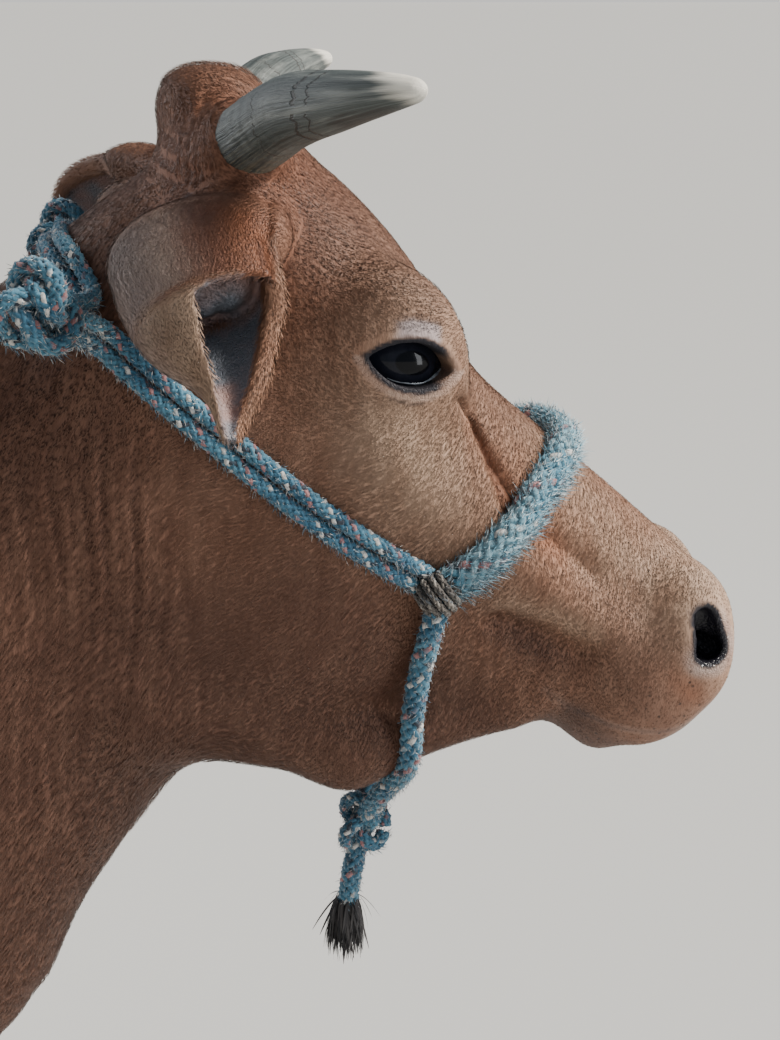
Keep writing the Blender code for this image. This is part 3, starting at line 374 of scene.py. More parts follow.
def body_form(p):
    m = [p[0], np.abs(p[1]), p[2]]
    whole = joined(
        [
            (ball(m, (0.235, 0.122, 0.970), (0.130, 0.056, 0.245), -24), 0.10),   # shoulder blade
            (limb(m, (0.375, 0.120, 0.840), (0.225, 0.155, 0.690), 0.074, 0.068), 0.11),  # upper arm
            (ball(m, (0.405, 0.0, 0.700), (0.105, 0.095, 0.115), 20), 0.09),      # brisket
            (limb(m, (0.600, 0.0, 0.830), (0.450, 0.0, 0.640), 0.020, 0.030), 0.07),  # fold of the dewlap
            (ball(m, (-0.650, 0.185, 1.125), (0.080, 0.052, 0.062)), 0.09),       # hook bone
            (ball(m, (-1.025, 0.088, 1.085), (0.050, 0.038, 0.050)), 0.07),       # pin bone
            (ball(m, (-0.850, 0.120, 1.010), (0.190, 0.095, 0.165), 12), 0.07),   # rump
            (ball(m, (-0.880, 0.135, 0.850), (0.150, 0.082, 0.240), 8), 0.07),    # thigh
            (ball(m, (-0.705, 0.175, 0.765), (0.085, 0.060, 0.120), 20), 0.06),   # stifle
        ],
        lofted(p[0], p[1], p[2], TRUNK_STATIONS, 0.05),
    )
    whole = blend_cut(whole, -ball(m, (-0.540, 0.300, 1.050), (0.120, 0.050, 0.090), -20), 0.06)
    foreleg = joined(
        [
            (ball(m, (0.240, 0.148, 0.400), (0.044, 0.040, 0.058)), 0.03),        # knee
            (limb(m, (0.234, 0.148, 0.370), (0.232, 0.145, 0.170), 0.029, 0.027, 0.95), 0.03),
            (ball(m, (0.234, 0.145, 0.150), (0.037, 0.038, 0.036)), 0.02),        # fetlock
            (limb(m, (0.240, 0.145, 0.140), (0.262, 0.145, 0.075), 0.033, 0.038, 1.1), 0.02),
            (ball(m, (0.202, 0.170, 0.128), (0.013, 0.012, 0.018), -20), 0.006),  # dew claws
            (ball(m, (0.202, 0.120, 0.128), (0.013, 0.012, 0.018), -20), 0.006),
        ],
        limb(m, (0.215, 0.160, 0.690), (0.232, 0.150, 0.430), 0.074, 0.040, 0.85),
    )
    hindleg = joined(
        [
            (limb(m, (-0.980, 0.158, 0.515), (-0.930, 0.155, 0.455), 0.022, 0.038, 0.9), 0.03),  # hock
            (limb(m, (-0.985, 0.158, 0.510), (-0.985, 0.155, 0.760), 0.016, 0.055, 0.8), 0.06),  # tendon
            (limb(m, (-0.962, 0.158, 0.540), (-0.945, 0.160, 0.645), 0.015, 0.024, 0.75), 0.03),  # web before it
            (limb(m, (-0.948, 0.155, 0.430), (-0.935, 0.150, 0.175), 0.032, 0.029, 0.95), 0.03),
            (ball(m, (-0.932, 0.150, 0.152), (0.039, 0.040, 0.038)), 0.02),
            (limb(m, (-0.926, 0.150, 0.140), (-0.902, 0.150, 0.075), 0.034, 0.039, 1.1), 0.02),
            (ball(m, (-0.966, 0.176, 0.130), (0.013, 0.012, 0.018), -20), 0.006),
            (ball(m, (-0.966, 0.124, 0.130), (0.013, 0.012, 0.018), -20), 0.006),
        ],
        limb(m, (-0.715, 0.180, 0.740), (-0.940, 0.160, 0.500), 0.092, 0.040, 0.75),
    )
    return joined([(foreleg, 0.05), (hindleg, 0.05)], whole)


def udder_form(p):
    m = [p[0], np.abs(p[1]), p[2]]
    return joined(
        [
            (ball(m, (-0.760, 0.055, 0.570), (0.105, 0.075, 0.105)), 0.05),
            (limb(m, (-0.690, 0.045, 0.480), (-0.688, 0.047, 0.425), 0.016, 0.009), 0.02),
            (limb(m, (-0.800, 0.042, 0.475), (-0.802, 0.044, 0.420), 0.016, 0.009), 0.02),
        ],
        ball(m, (-0.700, 0.050, 0.585), (0.140, 0.070, 0.100)),
    )


TAIL_LINE = ((-0.965, 0.0, 1.140), (-1.040, 0.0, 1.158), (-1.080, 0.0, 1.085), (-1.088, 0.0, 0.950),
             (-1.086, 0.0, 0.760), (-1.082, 0.0, 0.560))


def smooth_line(points, count):
    """Evenly spaced places along a smooth line through the points."""
    points = np.array(points, float)
    at = np.concatenate([[0], np.cumsum(np.linalg.norm(np.diff(points, axis=0), axis=1))])
    fine = np.linspace(0, at[-1], 200)
    slopes = np.gradient(points, at, axis=0)
    i = np.clip(np.searchsorted(at, fine) - 1, 0, len(at) - 2)
    width = (at[i + 1] - at[i])[:, None]
    t = (fine - at[i])[:, None] / width
    line = points[i] * (1 + 2 * t) * (1 - t) ** 2 + points[i + 1] * t * t * (3 - 2 * t)
    line += width * (slopes[i] * t * (1 - t) ** 2 - slopes[i + 1] * t * t * (1 - t))
    far = np.concatenate([[0], np.cumsum(np.linalg.norm(np.diff(line, axis=0), axis=1))])
    wanted = np.linspace(0, far[-1], count)
    return np.stack([np.interp(wanted, far, line[:, k]) for k in range(3)], axis=1)


def tail_form(p):
    line = smooth_line(TAIL_LINE, 12)
    sizes = np.interp(np.linspace(0, 1, 12), (0, 0.2, 0.5, 1), (0.034, 0.026, 0.0165, 0.0115))
    return chain(p, line, sizes)


def flesh(p):
    """The bare solids' surface: what the halter lies on."""
    return blend(body_form(p), head_form(p), 0.04)


def whole_body(p):
    return joined([(udder_form(p), 0.025), (tail_form(p), 0.020)], body_form(p))


print("trunk from", TRUNK_STATIONS[0][0], "to", TRUNK_STATIONS[-1][0], "m")

# %% [markdown]
# ### Ears
# An ear is a sheet of gristle rolled into a funnel at its root and open further out. It could be cut
# from a solid, but it is thinner than any cut would leave it, so it is a grid: each row is an arc
# about the middle line, with its own half width, depth and rims. The sheet is given its thickness and
# turned into a distance as well, and then it blends into the head without a seam.

# %% The ears' surfaces
EARS = {
    -1: (((0.768, 0.066, 1.312), (0.758, 0.098, 1.310), (0.751, 0.128, 1.302), (0.757, 0.158, 1.283),
          (0.766, 0.184, 1.258), (0.766, 0.202, 1.235)), (1.0, 0.0, 0.25)),
    1: (((0.752, 0.066, 1.308), (0.736, 0.098, 1.302), (0.716, 0.130, 1.296), (0.694, 0.160, 1.291),
         (0.673, 0.187, 1.284), (0.657, 0.208, 1.274)), (-0.35, -0.15, 0.90)),
}
# The right ear hangs, so its rims meet in a hood down to a fold; the left ear is turned back and open.
EAR_SHAPES = {
    -1: (
        (0.00, 0.026, 0.014, 76, 77),
        (0.16, 0.034, 0.017, 78, 79),
        (0.30, 0.038, 0.022, 79, 80),
        (0.42, 0.0385, 0.025, 80, 82),
        (0.50, 0.0375, 0.025, 80, 84),
        (0.555, 0.0363, 0.0243, 79, 86),
        (0.595, 0.0353, 0.0233, 0, 97),
        (0.66, 0.0315, 0.0212, -8, 105),
        (0.74, 0.0240, 0.0180, -18, 111),
        (0.82, 0.0160, 0.0132, -28, 120),
        (0.90, 0.0095, 0.010, -45, 140),
        (1.00, 0.0045, 0.004, -70, 165),
    ),
    1: (
        (0.00, 0.022, 0.018, 56, 84),
        (0.16, 0.030, 0.022, 50, 86),
        (0.32, 0.036, 0.024, 30, 90),
        (0.44, 0.037, 0.025, 10, 96),
        (0.58, 0.036, 0.023, -5, 100),
        (0.76, 0.031, 0.018, -20, 106),
        (0.90, 0.019, 0.010, -45, 120),
        (1.00, 0.006, 0.004, -70, 165),
    ),
}
EAR_THICK, EAR_ROWS, EAR_COLUMNS = 0.0042, 60, 44


def ear_sheet(side):
    """Middle surface of one ear: places, normals away from the hollow, and both of its own directions."""
    places, faces = EARS[side]
    table = np.array(EAR_SHAPES[side]).T
    wide, deep, near, far = (curve_through(table[0], row) for row in table[1:])
    middle = smooth_line(places, EAR_ROWS)
    tangents = np.gradient(middle, axis=0)
    tangents /= np.linalg.norm(tangents, axis=1)[:, None]
    u = np.linspace(0, 1, EAR_ROWS)
    front = np.array(faces) - tangents * (tangents @ np.array(faces))[:, None]
    front /= np.linalg.norm(front, axis=1)[:, None]
    out = np.cross(front, tangents)
    start, end = np.radians(far(u))[:, None], np.radians(360 + near(u))[:, None]
    turn = start + (end - start) * np.linspace(0, 1, EAR_COLUMNS)
    grid = middle[:, None] + front[:, None] * (wide(u)[:, None] * np.sin(turn))[..., None]
    grid = grid + out[:, None] * (deep(u)[:, None] * np.cos(turn))[..., None]
    grid[..., 1] *= side
    along, across = np.gradient(grid, axis=0), np.gradient(grid, axis=1)
    normal = np.cross(along, across)
    normal /= np.maximum(np.linalg.norm(normal, axis=2), 1e-9)[..., None]
    centre = middle * (1, side, 1)
    if ((grid - centre[:, None]) * normal).sum() < 0:
        normal = -normal
    return grid, normal, u


def ear_shell(side):
    """The ear as one closed surface of points and quads."""
    grid, normal, u = ear_sheet(side)
    rows, columns = grid.shape[:2]
    rim = np.clip(np.minimum(np.arange(columns), np.arange(columns)[::-1]) / 3, 0, 1)
    roll = 1.7 * ramp(7, 2, np.arange(columns))
    half = EAR_THICK / 2 * (0.55 + 0.45 * rim + roll)[None, :, None] * (1.25 - 0.55 * u)[:, None, None]
    points = np.concatenate([(grid + normal * half).reshape(-1, 3), (grid - normal * half).reshape(-1, 3)])
    index = np.arange(rows * columns).reshape(rows, columns)
    back = index + rows * columns
    quads = [np.stack([index[:-1, :-1], index[:-1, 1:], index[1:, 1:], index[1:, :-1]], -1).reshape(-1, 4)]
    quads.append(quads[0][:, ::-1] + rows * columns)
    for one, two in ((index[:, 0], back[:, 0]), (index[:, -1], back[:, -1]), (index[0], back[0]), (index[-1], back[-1])):
        quads.append(np.stack([one[:-1], one[1:], two[1:], two[:-1]], -1))
    return points, np.concatenate(quads)


print("ear sheet:", EAR_ROWS, "rows of", EAR_COLUMNS)

# %% [markdown]
# ### Small folds
# Skin that is bent often keeps its lines. A fold runs round the foot of each horn, fine upright lines
# cross the side of the neck, and short folds fan out where the ear leaves the head. They could be
# bump, but these throw real shadows, so they move the surface by under a millimetre.

# %% Folds as small moves of the surface
HORN_LINE = ((0.768, 0.036, 1.343), (0.783, 0.072, 1.360), (0.803, 0.108, 1.3775), (0.822, 0.150, 1.3855),
             (0.835, 0.173, 1.3893), (0.847, 0.189, 1.3918), (0.8575, 0.1985, 1.3930))
HORN_SIZES = ((0.0, 0.0195), (0.20, 0.0200), (0.45, 0.0188), (0.65, 0.0156), (0.82, 0.0115), (0.93, 0.0080), (1.0, 0.0045))
# Each line of the face: its places in the head's frame, its width, and its height above the skin.
FACE_LINES = (
    (((0.222, 0.050, -0.024), (0.249, 0.064, -0.039), (0.269, 0.070, -0.048), (0.301, 0.075, -0.064)), 0.0042, -0.0030),
    (((0.240, 0.052, -0.026), (0.275, 0.062, -0.038), (0.304, 0.064, -0.046)), 0.0060, 0.0012),
    (((0.320, 0.074, -0.072), (0.357, 0.066, -0.072), (0.385, 0.064, -0.068)), 0.0055, 0.0020),
    (((0.329, 0.060, -0.052), (0.346, 0.057, -0.050), (0.368, 0.053, -0.048)), 0.0085, -0.0042),
    (((0.333, 0.067, -0.096), (0.360, 0.062, -0.086), (0.393, 0.063, -0.072)), 0.0075, 0.0020),
    (((0.345, 0.058, -0.110), (0.369, 0.056, -0.102), (0.402, 0.055, -0.090)), 0.0085, -0.0062),
    (((0.360, 0.050, -0.135), (0.395, 0.048, -0.124)), 0.0060, -0.0016),
    (((0.404, 0.048, -0.119), (0.409, 0.046, -0.117)), 0.0035, 0.0014),
    (((0.285, 0.080, -0.150), (0.330, 0.062, -0.165)), 0.0120, -0.0016),
    (((0.190, 0.092, -0.075), (0.240, 0.090, -0.082), (0.290, 0.080, -0.096)), 0.0100, 0.0008),
    (((0.150, 0.088, -0.055), (0.180, 0.094, -0.072), (0.205, 0.090, -0.060)), 0.0030, -0.0008),
    # the deep furrow between the poll and the horn's sleeve
    (((0.028, 0.040, 0.006), (0.048, 0.050, -0.060)), 0.0070, -0.0022),
)


def wander(p, scale, seed):
    """A slow wave of the place, from -1 to 1, that repeats nowhere near the animal."""
    return (np.sin(p[0] * scale * 1.3 + seed) * np.cos(p[2] * scale + 2.1 * seed)
            + 0.6 * np.sin(p[2] * scale * 1.9 - seed + p[1] * scale * 1.1)) / 1.6


def neck_lines(p):
    """Upright wrinkles on the side of the neck: above 0 on a crest, below 0 in a crease."""
    waves = p[0] - 0.08 * (p[2] - 1.1) + 0.006 * wander(p, 22, 2.0)
    lines = np.sin(waves * 2 * math.pi / 0.0088) + 0.6 * np.sin(waves * 2 * math.pi / 0.0143 + 1.0)
    on_neck = ramp(0.760, 0.705, p[0] + 0.12 * (p[2] - 1.1)) * ramp(1.28, 1.20, p[2])
    on_neck = on_neck * ramp(0.620, 0.655, p[0]) * ramp(0.02, 0.05, np.abs(p[1]))
    return lines * on_neck * (0.55 + 0.45 * wander(p, 17, 3.0))


def folds(p):
    """How far the surface moves out, in metres."""
    q = head_axes(p)
    side = np.abs(p[1])
    # round the horn
    a, b = np.array(HORN_LINE[0]), np.array(HORN_LINE[2])
    d = b - a
    t = ((p[0] - a[0]) * d[0] + (side - a[1]) * d[1] + (p[2] - a[2]) * d[2]) / (d @ d)
    away = np.sqrt(sum(((side if i == 1 else p[i]) - a[i] - t * d[i]) ** 2 for i in range(3)))
    ring = np.sin((t * 0.095 + 0.3 * away + 0.0022 * wander(p, 55, 1.0)) * 2 * math.pi / 0.0085)
    move = 0.0009 * ring * ramp(0.062, 0.034, away) * ramp(-0.1, 0.25, t) + 0.0009 * neck_lines(p)
    # where the ear leaves the head, and in the loose skin behind the poll
    for x, z, wide, high, (low, full), waves, length, height in (
        (0.800, 1.315, 0.022, 0.030, (0.05, 0.07), q[0] + 0.25 * q[2] + 0.002 * wander(p, 70, 4.0), 0.0075, 0.0007),
        (0.735, 1.350, 0.022, 0.026, (0.006, 0.03), q[2] - 0.5 * q[0] + 0.003 * wander(p, 40, 5.0), 0.0115, 0.0009),
    ):
        near = np.exp(-(((p[0] - x) / wide) ** 2 + ((p[2] - z) / high) ** 2)) * ramp(low, full, side)
        move = move + height * np.sin(waves * 2 * math.pi / length) * near
    # furrows and ridges of the face: muscle and bone under thin skin
    m = [q[0], side, q[2]]
    for way, width, height in FACE_LINES:
        move = move + height * np.exp(-((chain(m, way) / width) ** 2))
    # the groove down the middle of the nose pad
    pad = ramp(0.455, 0.475, m[0]) * ramp(-0.010, -0.025, m[2]) * ramp(-0.100, -0.085, m[2])
    return move - 0.0020 * pad * np.exp(-((p[1] / 0.0032) ** 2))


print("folds: round the horns, on the neck and", len(FACE_LINES), "lines of the face")

# %% [markdown]
# ### Meshing the skin
# A fine grid over the whole animal would hold a thousand million numbers. Only the few near the surface
# matter, so a coarse grid finds those blocks first. The head is meshed at under two millimetres and the
# body at about a centimetre, and a narrow band of faces joins them behind the jaw, out of the way.

# %% From distance to mesh
HEAD_INSET, BODY_INSET = 0.0022, 0.0046
JOIN_AT, JOIN_WIDTH = 0.612, 0.006
BLOCK = 8


def near_surface(form, low, high, voxel, width=3.0):
    """Distances on a fine grid, worked out only in blocks near the surface."""
    low = np.array(low, float)
    count = np.ceil((np.array(high) - low) / (voxel * BLOCK)).astype(int)
    middles = [low[i] + voxel * (BLOCK * (np.arange(count[i]) + 0.5) - 0.5) for i in range(3)]
    coarse = form(np.meshgrid(*middles, indexing="ij"))
    far = voxel * width
    whole = np.repeat(np.repeat(np.repeat(np.where(coarse < 0, -far, far).astype(np.float32), BLOCK, 0), BLOCK, 1), BLOCK, 2)
    blocks = np.argwhere(np.abs(coarse) < voxel * (BLOCK * 1.1 + width))
    inside = np.stack(np.meshgrid(*[np.arange(BLOCK)] * 3, indexing="ij"), -1).reshape(-1, 3)
    for start in range(0, len(blocks), 1500):
        cells = (blocks[start:start + 1500, None] * BLOCK + inside).reshape(-1, 3)
        value = form([low[i] + voxel * cells[:, i] for i in range(3)])
        whole[cells[:, 0], cells[:, 1], cells[:, 2]] = np.clip(value, -far, far)
    return whole


def mesh_of(name, distance, low, voxel):
    """A mesh of where the distance is nought, open where it meets the sides of its box."""
    volume = openvdb.FloatGrid(background=voxel * 3)
    volume.copyFromArray(np.clip(distance, -voxel * 3, voxel * 3))
    points, quads = volume.convertToQuads(isovalue=0.0)
    mesh = bpy.data.meshes.new(name)
    mesh.from_pydata((np.array(low) + points * voxel).tolist(), [], quads.tolist())
    mesh.update()
    return mesh


def add_object(name, mesh, *materials):
    obj = bpy.data.objects.new(name, mesh)
    scene.collection.objects.link(obj)
    for material in materials:
        mesh.materials.append(material)
    return obj


def made_plain(obj):
    """Applies what is on the object and drops its modifiers."""
    bpy.context.view_layer.update()
    mesh = bpy.data.meshes.new_from_object(obj.evaluated_get(bpy.context.evaluated_depsgraph_get()))
    obj.modifiers.clear()
    old, obj.data = obj.data, mesh
    bpy.data.meshes.remove(old)
    return obj


def points_of(mesh):
    points = np.empty(len(mesh.vertices) * 3, np.float32)
    mesh.vertices.foreach_get("co", points)
    return points.reshape(-1, 3).astype(float)


def mesh_from(bm, name):
    """A new mesh from bm, which is freed."""
    mesh = bpy.data.meshes.new(name)
    bm.to_mesh(mesh)
    bm.free()
    return mesh


def outward_faces(mesh):
    """Turns the faces outwards and shades them smooth."""
    mesh.validate()
    bm = bmesh.new()
    bm.from_mesh(mesh)
    bmesh.ops.recalc_face_normals(bm, faces=bm.faces[:])
    bm.to_mesh(mesh)
    bm.free()
    mesh.shade_smooth()
    return mesh


def move_points(mesh, points):
    mesh.vertices.foreach_set("co", np.asarray(points, np.float32).ravel())


def keep(mesh, name, values):
    """Keeps one number or one direction for each point of the mesh."""
    values = np.asarray(values, np.float32)
    kind, field = ("FLOAT", "value") if values.ndim == 1 else ("FLOAT_VECTOR", "vector")
    mesh.attributes.new(name, kind, "POINT").data.foreach_set(field, values.ravel())


def cut_at(obj, x, keep_ahead):
    """Opens the mesh at a plane across the neck and keeps one side."""
    bm = bmesh.new()
    bm.from_mesh(obj.data)
    bmesh.ops.bisect_plane(
        bm, geom=bm.verts[:] + bm.edges[:] + bm.faces[:], plane_co=(x, 0, 0), plane_no=(1, 0, 0), dist=1e-6,
        clear_inner=keep_ahead, clear_outer=not keep_ahead,
    )
    bm.to_mesh(obj.data)
    bm.free()
    return obj

# %% Head and ears at a fine scale
HEAD_VOXEL = 0.0018
HEAD_LOW, HEAD_HIGH = (0.600, -0.242, 0.740), (1.110, 0.242, 1.428)


def fine_head(p):
    inset = HEAD_INSET + (BODY_INSET - HEAD_INSET) * ramp(0.715, 0.640, p[0])
    whole = blend(body_form(p), head_form(p), 0.04) + inset - folds(p)
    whole = blend_cut(whole, p[0] - (cad_box[1][0] - 0.0040), 0.012)
    return blend_cut(whole, p[2] - (cad_box[1][2] - 0.0067), 0.012)


head_field = near_surface(fine_head, HEAD_LOW, HEAD_HIGH, HEAD_VOXEL, 8.0)
for side in (-1, 1):
    points, quads = ear_shell(side)
    shell = openvdb.FloatGrid.createLevelSetFromPolygons(
        ((points - np.array(HEAD_LOW)) / HEAD_VOXEL).astype(np.float32), quads=quads.astype(np.uint32), halfWidth=8.0
    )
    ear_field = np.empty(head_field.shape, np.float32)
    shell.copyToArray(ear_field)
    across = np.abs(HEAD_LOW[1] + HEAD_VOXEL * np.arange(head_field.shape[1]))[None, :, None]
    root = 0.007 + 0.021 * ramp(0.150, 0.105, across)
    head_field = blend(head_field, ear_field * HEAD_VOXEL, root).astype(np.float32)
# The hanging ear is pinched shut above its fold, so its inside ends there.
HOLLOW_END = smooth_line(EARS[-1][0], 40)[[5, 11, 16]] * (1, -1, 1)


def gristle_form(p):
    first, second, third = HOLLOW_END
    beside_it = np.array((0.0135, 0.0, 0.0))
    front = limb(p, second + beside_it, third + beside_it, 0.0180, 0.0185)
    return np.minimum(np.minimum(limb(p, first, second, 0.021, 0.0215), limb(p, second, third, 0.0215, 0.0215)), front)


corner = [HEAD_LOW[i] + HEAD_VOXEL * np.arange(head_field.shape[i]) for i in range(3)]
at = np.searchsorted(corner[1], -0.085), np.searchsorted(corner[0], 0.70), np.searchsorted(corner[0], 0.82)
box = np.meshgrid(corner[0][at[1]:at[2]], corner[1][:at[0]], corner[2], indexing="ij")
head_field[at[1]:at[2], :at[0]] = blend(head_field[at[1]:at[2], :at[0]], gristle_form(box), 0.006)
del box
skin = add_object("skin", mesh_of("skin", head_field, HEAD_LOW, HEAD_VOXEL))
print("fine head:", len(skin.data.polygons), "faces")
del head_field, ear_field

# %% [markdown]
# The fine mesh is thinned where the surface is smooth and keeps its faces round the eyes, the
# nostrils, the mouth and the ears, where a millimetre is seen.

# %% Thin the head, mesh the body, join them
places = points_of(skin.data)
q = head_axes(places.T)
eye_in, eye_up, eye_out = eye_axes([q[0], np.abs(q[1]), q[2]])
detail = np.clip(1.5 - np.hypot(eye_in, eye_up) / 0.042, 0, 1) * (eye_out > -0.01)
detail = np.maximum(detail, ramp(0.425, 0.450, q[0]))
detail = np.maximum(detail, 0.5 * ramp(0.075, 0.095, np.abs(places[:, 1])) * (places[:, 0] < 0.80))
detail = np.maximum(detail, 0.9 * ramp(-0.080, -0.095, places[:, 1]) * (places[:, 0] < 0.83) * (places[:, 2] < 1.34))
detail = np.maximum(detail, 0.12 + 0.20 * ramp(0.70, 0.76, places[:, 0]))
group = skin.vertex_groups.new(name="fine")
levels = np.round(detail * 10).astype(int)
for level in range(1, 11):
    chosen = np.nonzero(levels == level)[0].tolist()
    if chosen:
        group.add(chosen, level / 10, "REPLACE")
thin = skin.modifiers.new("thin", "DECIMATE")
thin.vertex_group, thin.invert_vertex_group, thin.vertex_group_factor = "fine", True, 2.0
thin.ratio = min(1.0, 140000 / (2 * len(skin.data.polygons)))
made_plain(skin)
skin.vertex_groups.clear()
cut_at(skin, JOIN_AT, True)
print("thinned head:", len(skin.data.polygons), "faces")

BODY_VOXEL = 0.0105
body_low = (-1.13, -0.33, 0.02)
body_field = near_surface(lambda p: whole_body(p) + BODY_INSET, body_low, (0.70, 0.33, 1.36), BODY_VOXEL)
body = add_object("body", mesh_of("body", body_field, body_low, BODY_VOXEL))
cut_at(body, JOIN_AT - JOIN_WIDTH, False)
thin = body.modifiers.new("thin", "DECIMATE")
thin.ratio = 50000 / (2 * len(body.data.polygons))
made_plain(body)
print("body:", len(body.data.polygons), "faces")


def open_edges(bm, x):
    return [e for e in bm.edges if e.is_boundary and all(abs(v.co.x - x) < 0.004 for v in e.verts)]


bm = bmesh.new()
bm.from_mesh(skin.data)
bm.from_mesh(body.data)
bmesh.ops.bridge_loops(bm, edges=open_edges(bm, JOIN_AT) + open_edges(bm, JOIN_AT - JOIN_WIDTH))
bmesh.ops.triangulate(bm, faces=[f for f in bm.faces if len(f.verts) > 4])
seam = [v for v in bm.verts if abs(v.co.x - JOIN_AT) < 0.022]
for _ in range(8):
    bmesh.ops.smooth_vert(bm, verts=seam, factor=0.5, use_axis_x=True, use_axis_y=True, use_axis_z=True)
for face in bm.faces:
    face.smooth = True
bm.to_mesh(skin.data)
left_open = sum(e.is_boundary for e in bm.edges)
bm.free()
bpy.data.objects.remove(body)
print("one skin:", len(skin.data.polygons), "faces,", left_open, "open edges")

# %% [markdown]
# ## Where each kind of hide lies
# A cow's hide is not one colour. It is paler round the eye and the muzzle, redder in the furrow of
# the face, nearly black on the rims of the lids and inside the nostrils, and bare and slate-blue in
# the cup of the ear. Shade is painted in as well, in the creases, the hollows and under the jaw, and a
# painted highlight lies along one ridge of the face. Each of these is worked out from the place on the
# animal and kept on the skin as a number from 0 to 1, and the coat later takes the same numbers from
# the skin under it, so both always agree.

# %% Nearest place on the ears
from mathutils.kdtree import KDTree

EAR_REACH = 0.010
places = points_of(skin.data)
x, y, z = places.T
side = np.abs(y)
head_s, _, head_n = head_axes(places.T)
m = [head_s, side, head_n]
ear_u, ear_v, ear_in, on_ear = np.zeros((4, len(places)))
ear_along = np.zeros((len(places), 3))
for one in (-1, 1):
    grid, normal, u = ear_sheet(one)
    along = unit(np.gradient(grid, axis=0)).reshape(-1, 3)
    flat_grid, flat_normal = grid.reshape(-1, 3), normal.reshape(-1, 3)
    tree = KDTree(len(flat_grid))
    for i, place in enumerate(flat_grid):
        tree.insert(place, i)
    tree.balance()
    low, high = flat_grid.min(axis=0) - 0.008, flat_grid.max(axis=0) + 0.008
    for i in np.nonzero(((places > low) & (places < high)).all(axis=1))[0]:
        _, k, far = tree.find(places[i])
        if far < EAR_REACH:
            on_ear[i] = 1 - far / EAR_REACH if far > EAR_REACH / 2 else 1.0
            ear_u[i], ear_v[i] = u[k // EAR_COLUMNS], (k % EAR_COLUMNS) / (EAR_COLUMNS - 1)
            ear_in[i] = ramp(0.0005, -0.0008, (places[i] - flat_grid[k]) @ flat_normal[k])
            ear_along[i] = along[k]
on_ear = ramp(0.0, 0.6, on_ear)
open_part = ear_u + (y > 0)
ear_rim = np.clip(1.3 - np.minimum(ear_v, 1.5 - 1.5 * ear_v) / 0.08, 0, 1) * on_ear * ramp(0.10, 0.60, open_part)
ear_cup = on_ear * ear_in * ramp(0.06, 0.11, ear_v) * ramp(0.50, 0.56, open_part)
print("skin on the ears:", int((on_ear > 0.5).sum()), "points")

# %% The marks
def spot(centre, size, strength=1.0):
    """A soft spot in the head's frame, on both sides."""
    return strength * np.exp(-sum(((m[i] - centre[i]) / size[i]) ** 2 for i in range(3)))


def band(value, start, full, end, gone):
    """1 from full to end, and soft on both sides of that."""
    return ramp(start, full, value) * ramp(gone, end, value)


def line_to(start, end):
    """How far the skin is from a straight line in the head's frame."""
    return limb(m, start, end, 0.0, 0.0)


eye_in, eye_up, eye_out = eye_axes(m)
lid_up, lid_low = lid_lines(eye_in, eye_up)
lid_far = np.maximum(lid_up, lid_low)
by_eye = ramp(-0.012, 0.0, eye_out) * (side > 0.03)
above_eye, below_eye = (eye_up > 0.004) * by_eye, (eye_up < 0.0) * by_eye
nostril = nostril_form(m)
mouth = chain([head_s, 0 * side, head_n], MOUTH) + 10.0 * (head_s <= 0.40)
muzzle = ramp(0.395, 0.462, head_s + 0.10 * (head_n + 0.06))
udder_near = np.clip(1 - udder_form(places.T) / 0.05, 0, 1)
ear_back, hanging = on_ear * (1 - ear_in), y < 0
ear_front_rim = on_ear * ramp(0.22, 0.12, ear_v) * ramp(0.45, 0.55, ear_u)

# Skin puckers into short slits on the back of the hanging ear and fine upright creases on its hood; these
# are painted only, as lines of shade in the deep mark, and the surface is not moved there.
back_part = band(ear_v, 0.48, 0.54, 0.66, 0.72) * band(ear_u, 0.54, 0.60, 0.70, 0.78)
hood_part = band(ear_v, 0.80, 0.86, 0.96, 1.0) * band(ear_u, 0.22, 0.34, 0.53, 0.57)
ear_slits = np.maximum(back_part * np.sin(ear_v * 2 * math.pi / 0.066 + 1.2 * np.sin(9 * ear_u)),
                       0.8 * hood_part * np.sin(ear_v * 2 * math.pi / 0.052 + 1.0 * np.sin(7 * ear_u)))
marks = {}
marks["pale"] = (
    spot((0.208, 0.090, -0.068), (0.044, 0.05, 0.034), 0.72)
    + spot((0.260, 0.070, -0.085), (0.050, 0.05, 0.032), 0.45)
    + spot((0.170, 0.080, -0.020), (0.045, 0.05, 0.030), 0.55)
    + 0.08 * muzzle + 0.30 * muzzle * ramp(-0.055, -0.020, head_n)
    + spot((0.430, 0.030, -0.005), (0.050, 0.05, 0.022), 0.45)
    + spot((0.360, 0.045, -0.034), (0.085, 0.05, 0.034), 0.95)
    # A painted highlight along the ridge of the face above the shaded hollow.
    + 0.70 * np.exp(-((line_to((0.335, 0.066, -0.094), (0.392, 0.063, -0.074)) / 0.012) ** 2))
    + 0.90 * ear_back * ramp(0.34, 0.44, ear_v) * np.maximum(
        ramp(0.86, 0.72, ear_v * hanging), ramp(0.55, 0.61, ear_u))
    + 1.0 * ear_front_rim
    + 0.35 * ramp(0.62, 0.50, z) * (x < 0.35) * (x > -0.8) * (side < 0.16)
    + 0.55 * ramp(0.45, 0.15, z) * ramp(0.20, 0.08, side)
    + 0.80 * udder_near)
marks["ruddy"] = (
    np.clip(1 - line_to((0.222, 0.062, -0.046), (0.335, 0.050, -0.062)) / 0.022, 0, 1)
    + spot((0.055, 0.05, -0.035), (0.05, 0.05, 0.05), 0.9)
    + spot((0.100, 0.08, -0.075), (0.030, 0.03, 0.030), 0.8)
    + 0.9 * ear_back * ramp(0.72, 0.82, ear_v) * band(ear_u, 0.15, 0.32, 0.55, 0.60) * hanging
    + 0.80 * ear_front_rim
    + spot((0.300, 0.055, -0.045), (0.05, 0.03, 0.022), 0.8)
    + spot((0.468, 0.061, -0.058), (0.020, 0.01, 0.008), 0.7)
    + 0.35 * band(head_s, 0.30, 0.36, 0.38, 0.45) * ramp(-0.14, -0.05, head_n))
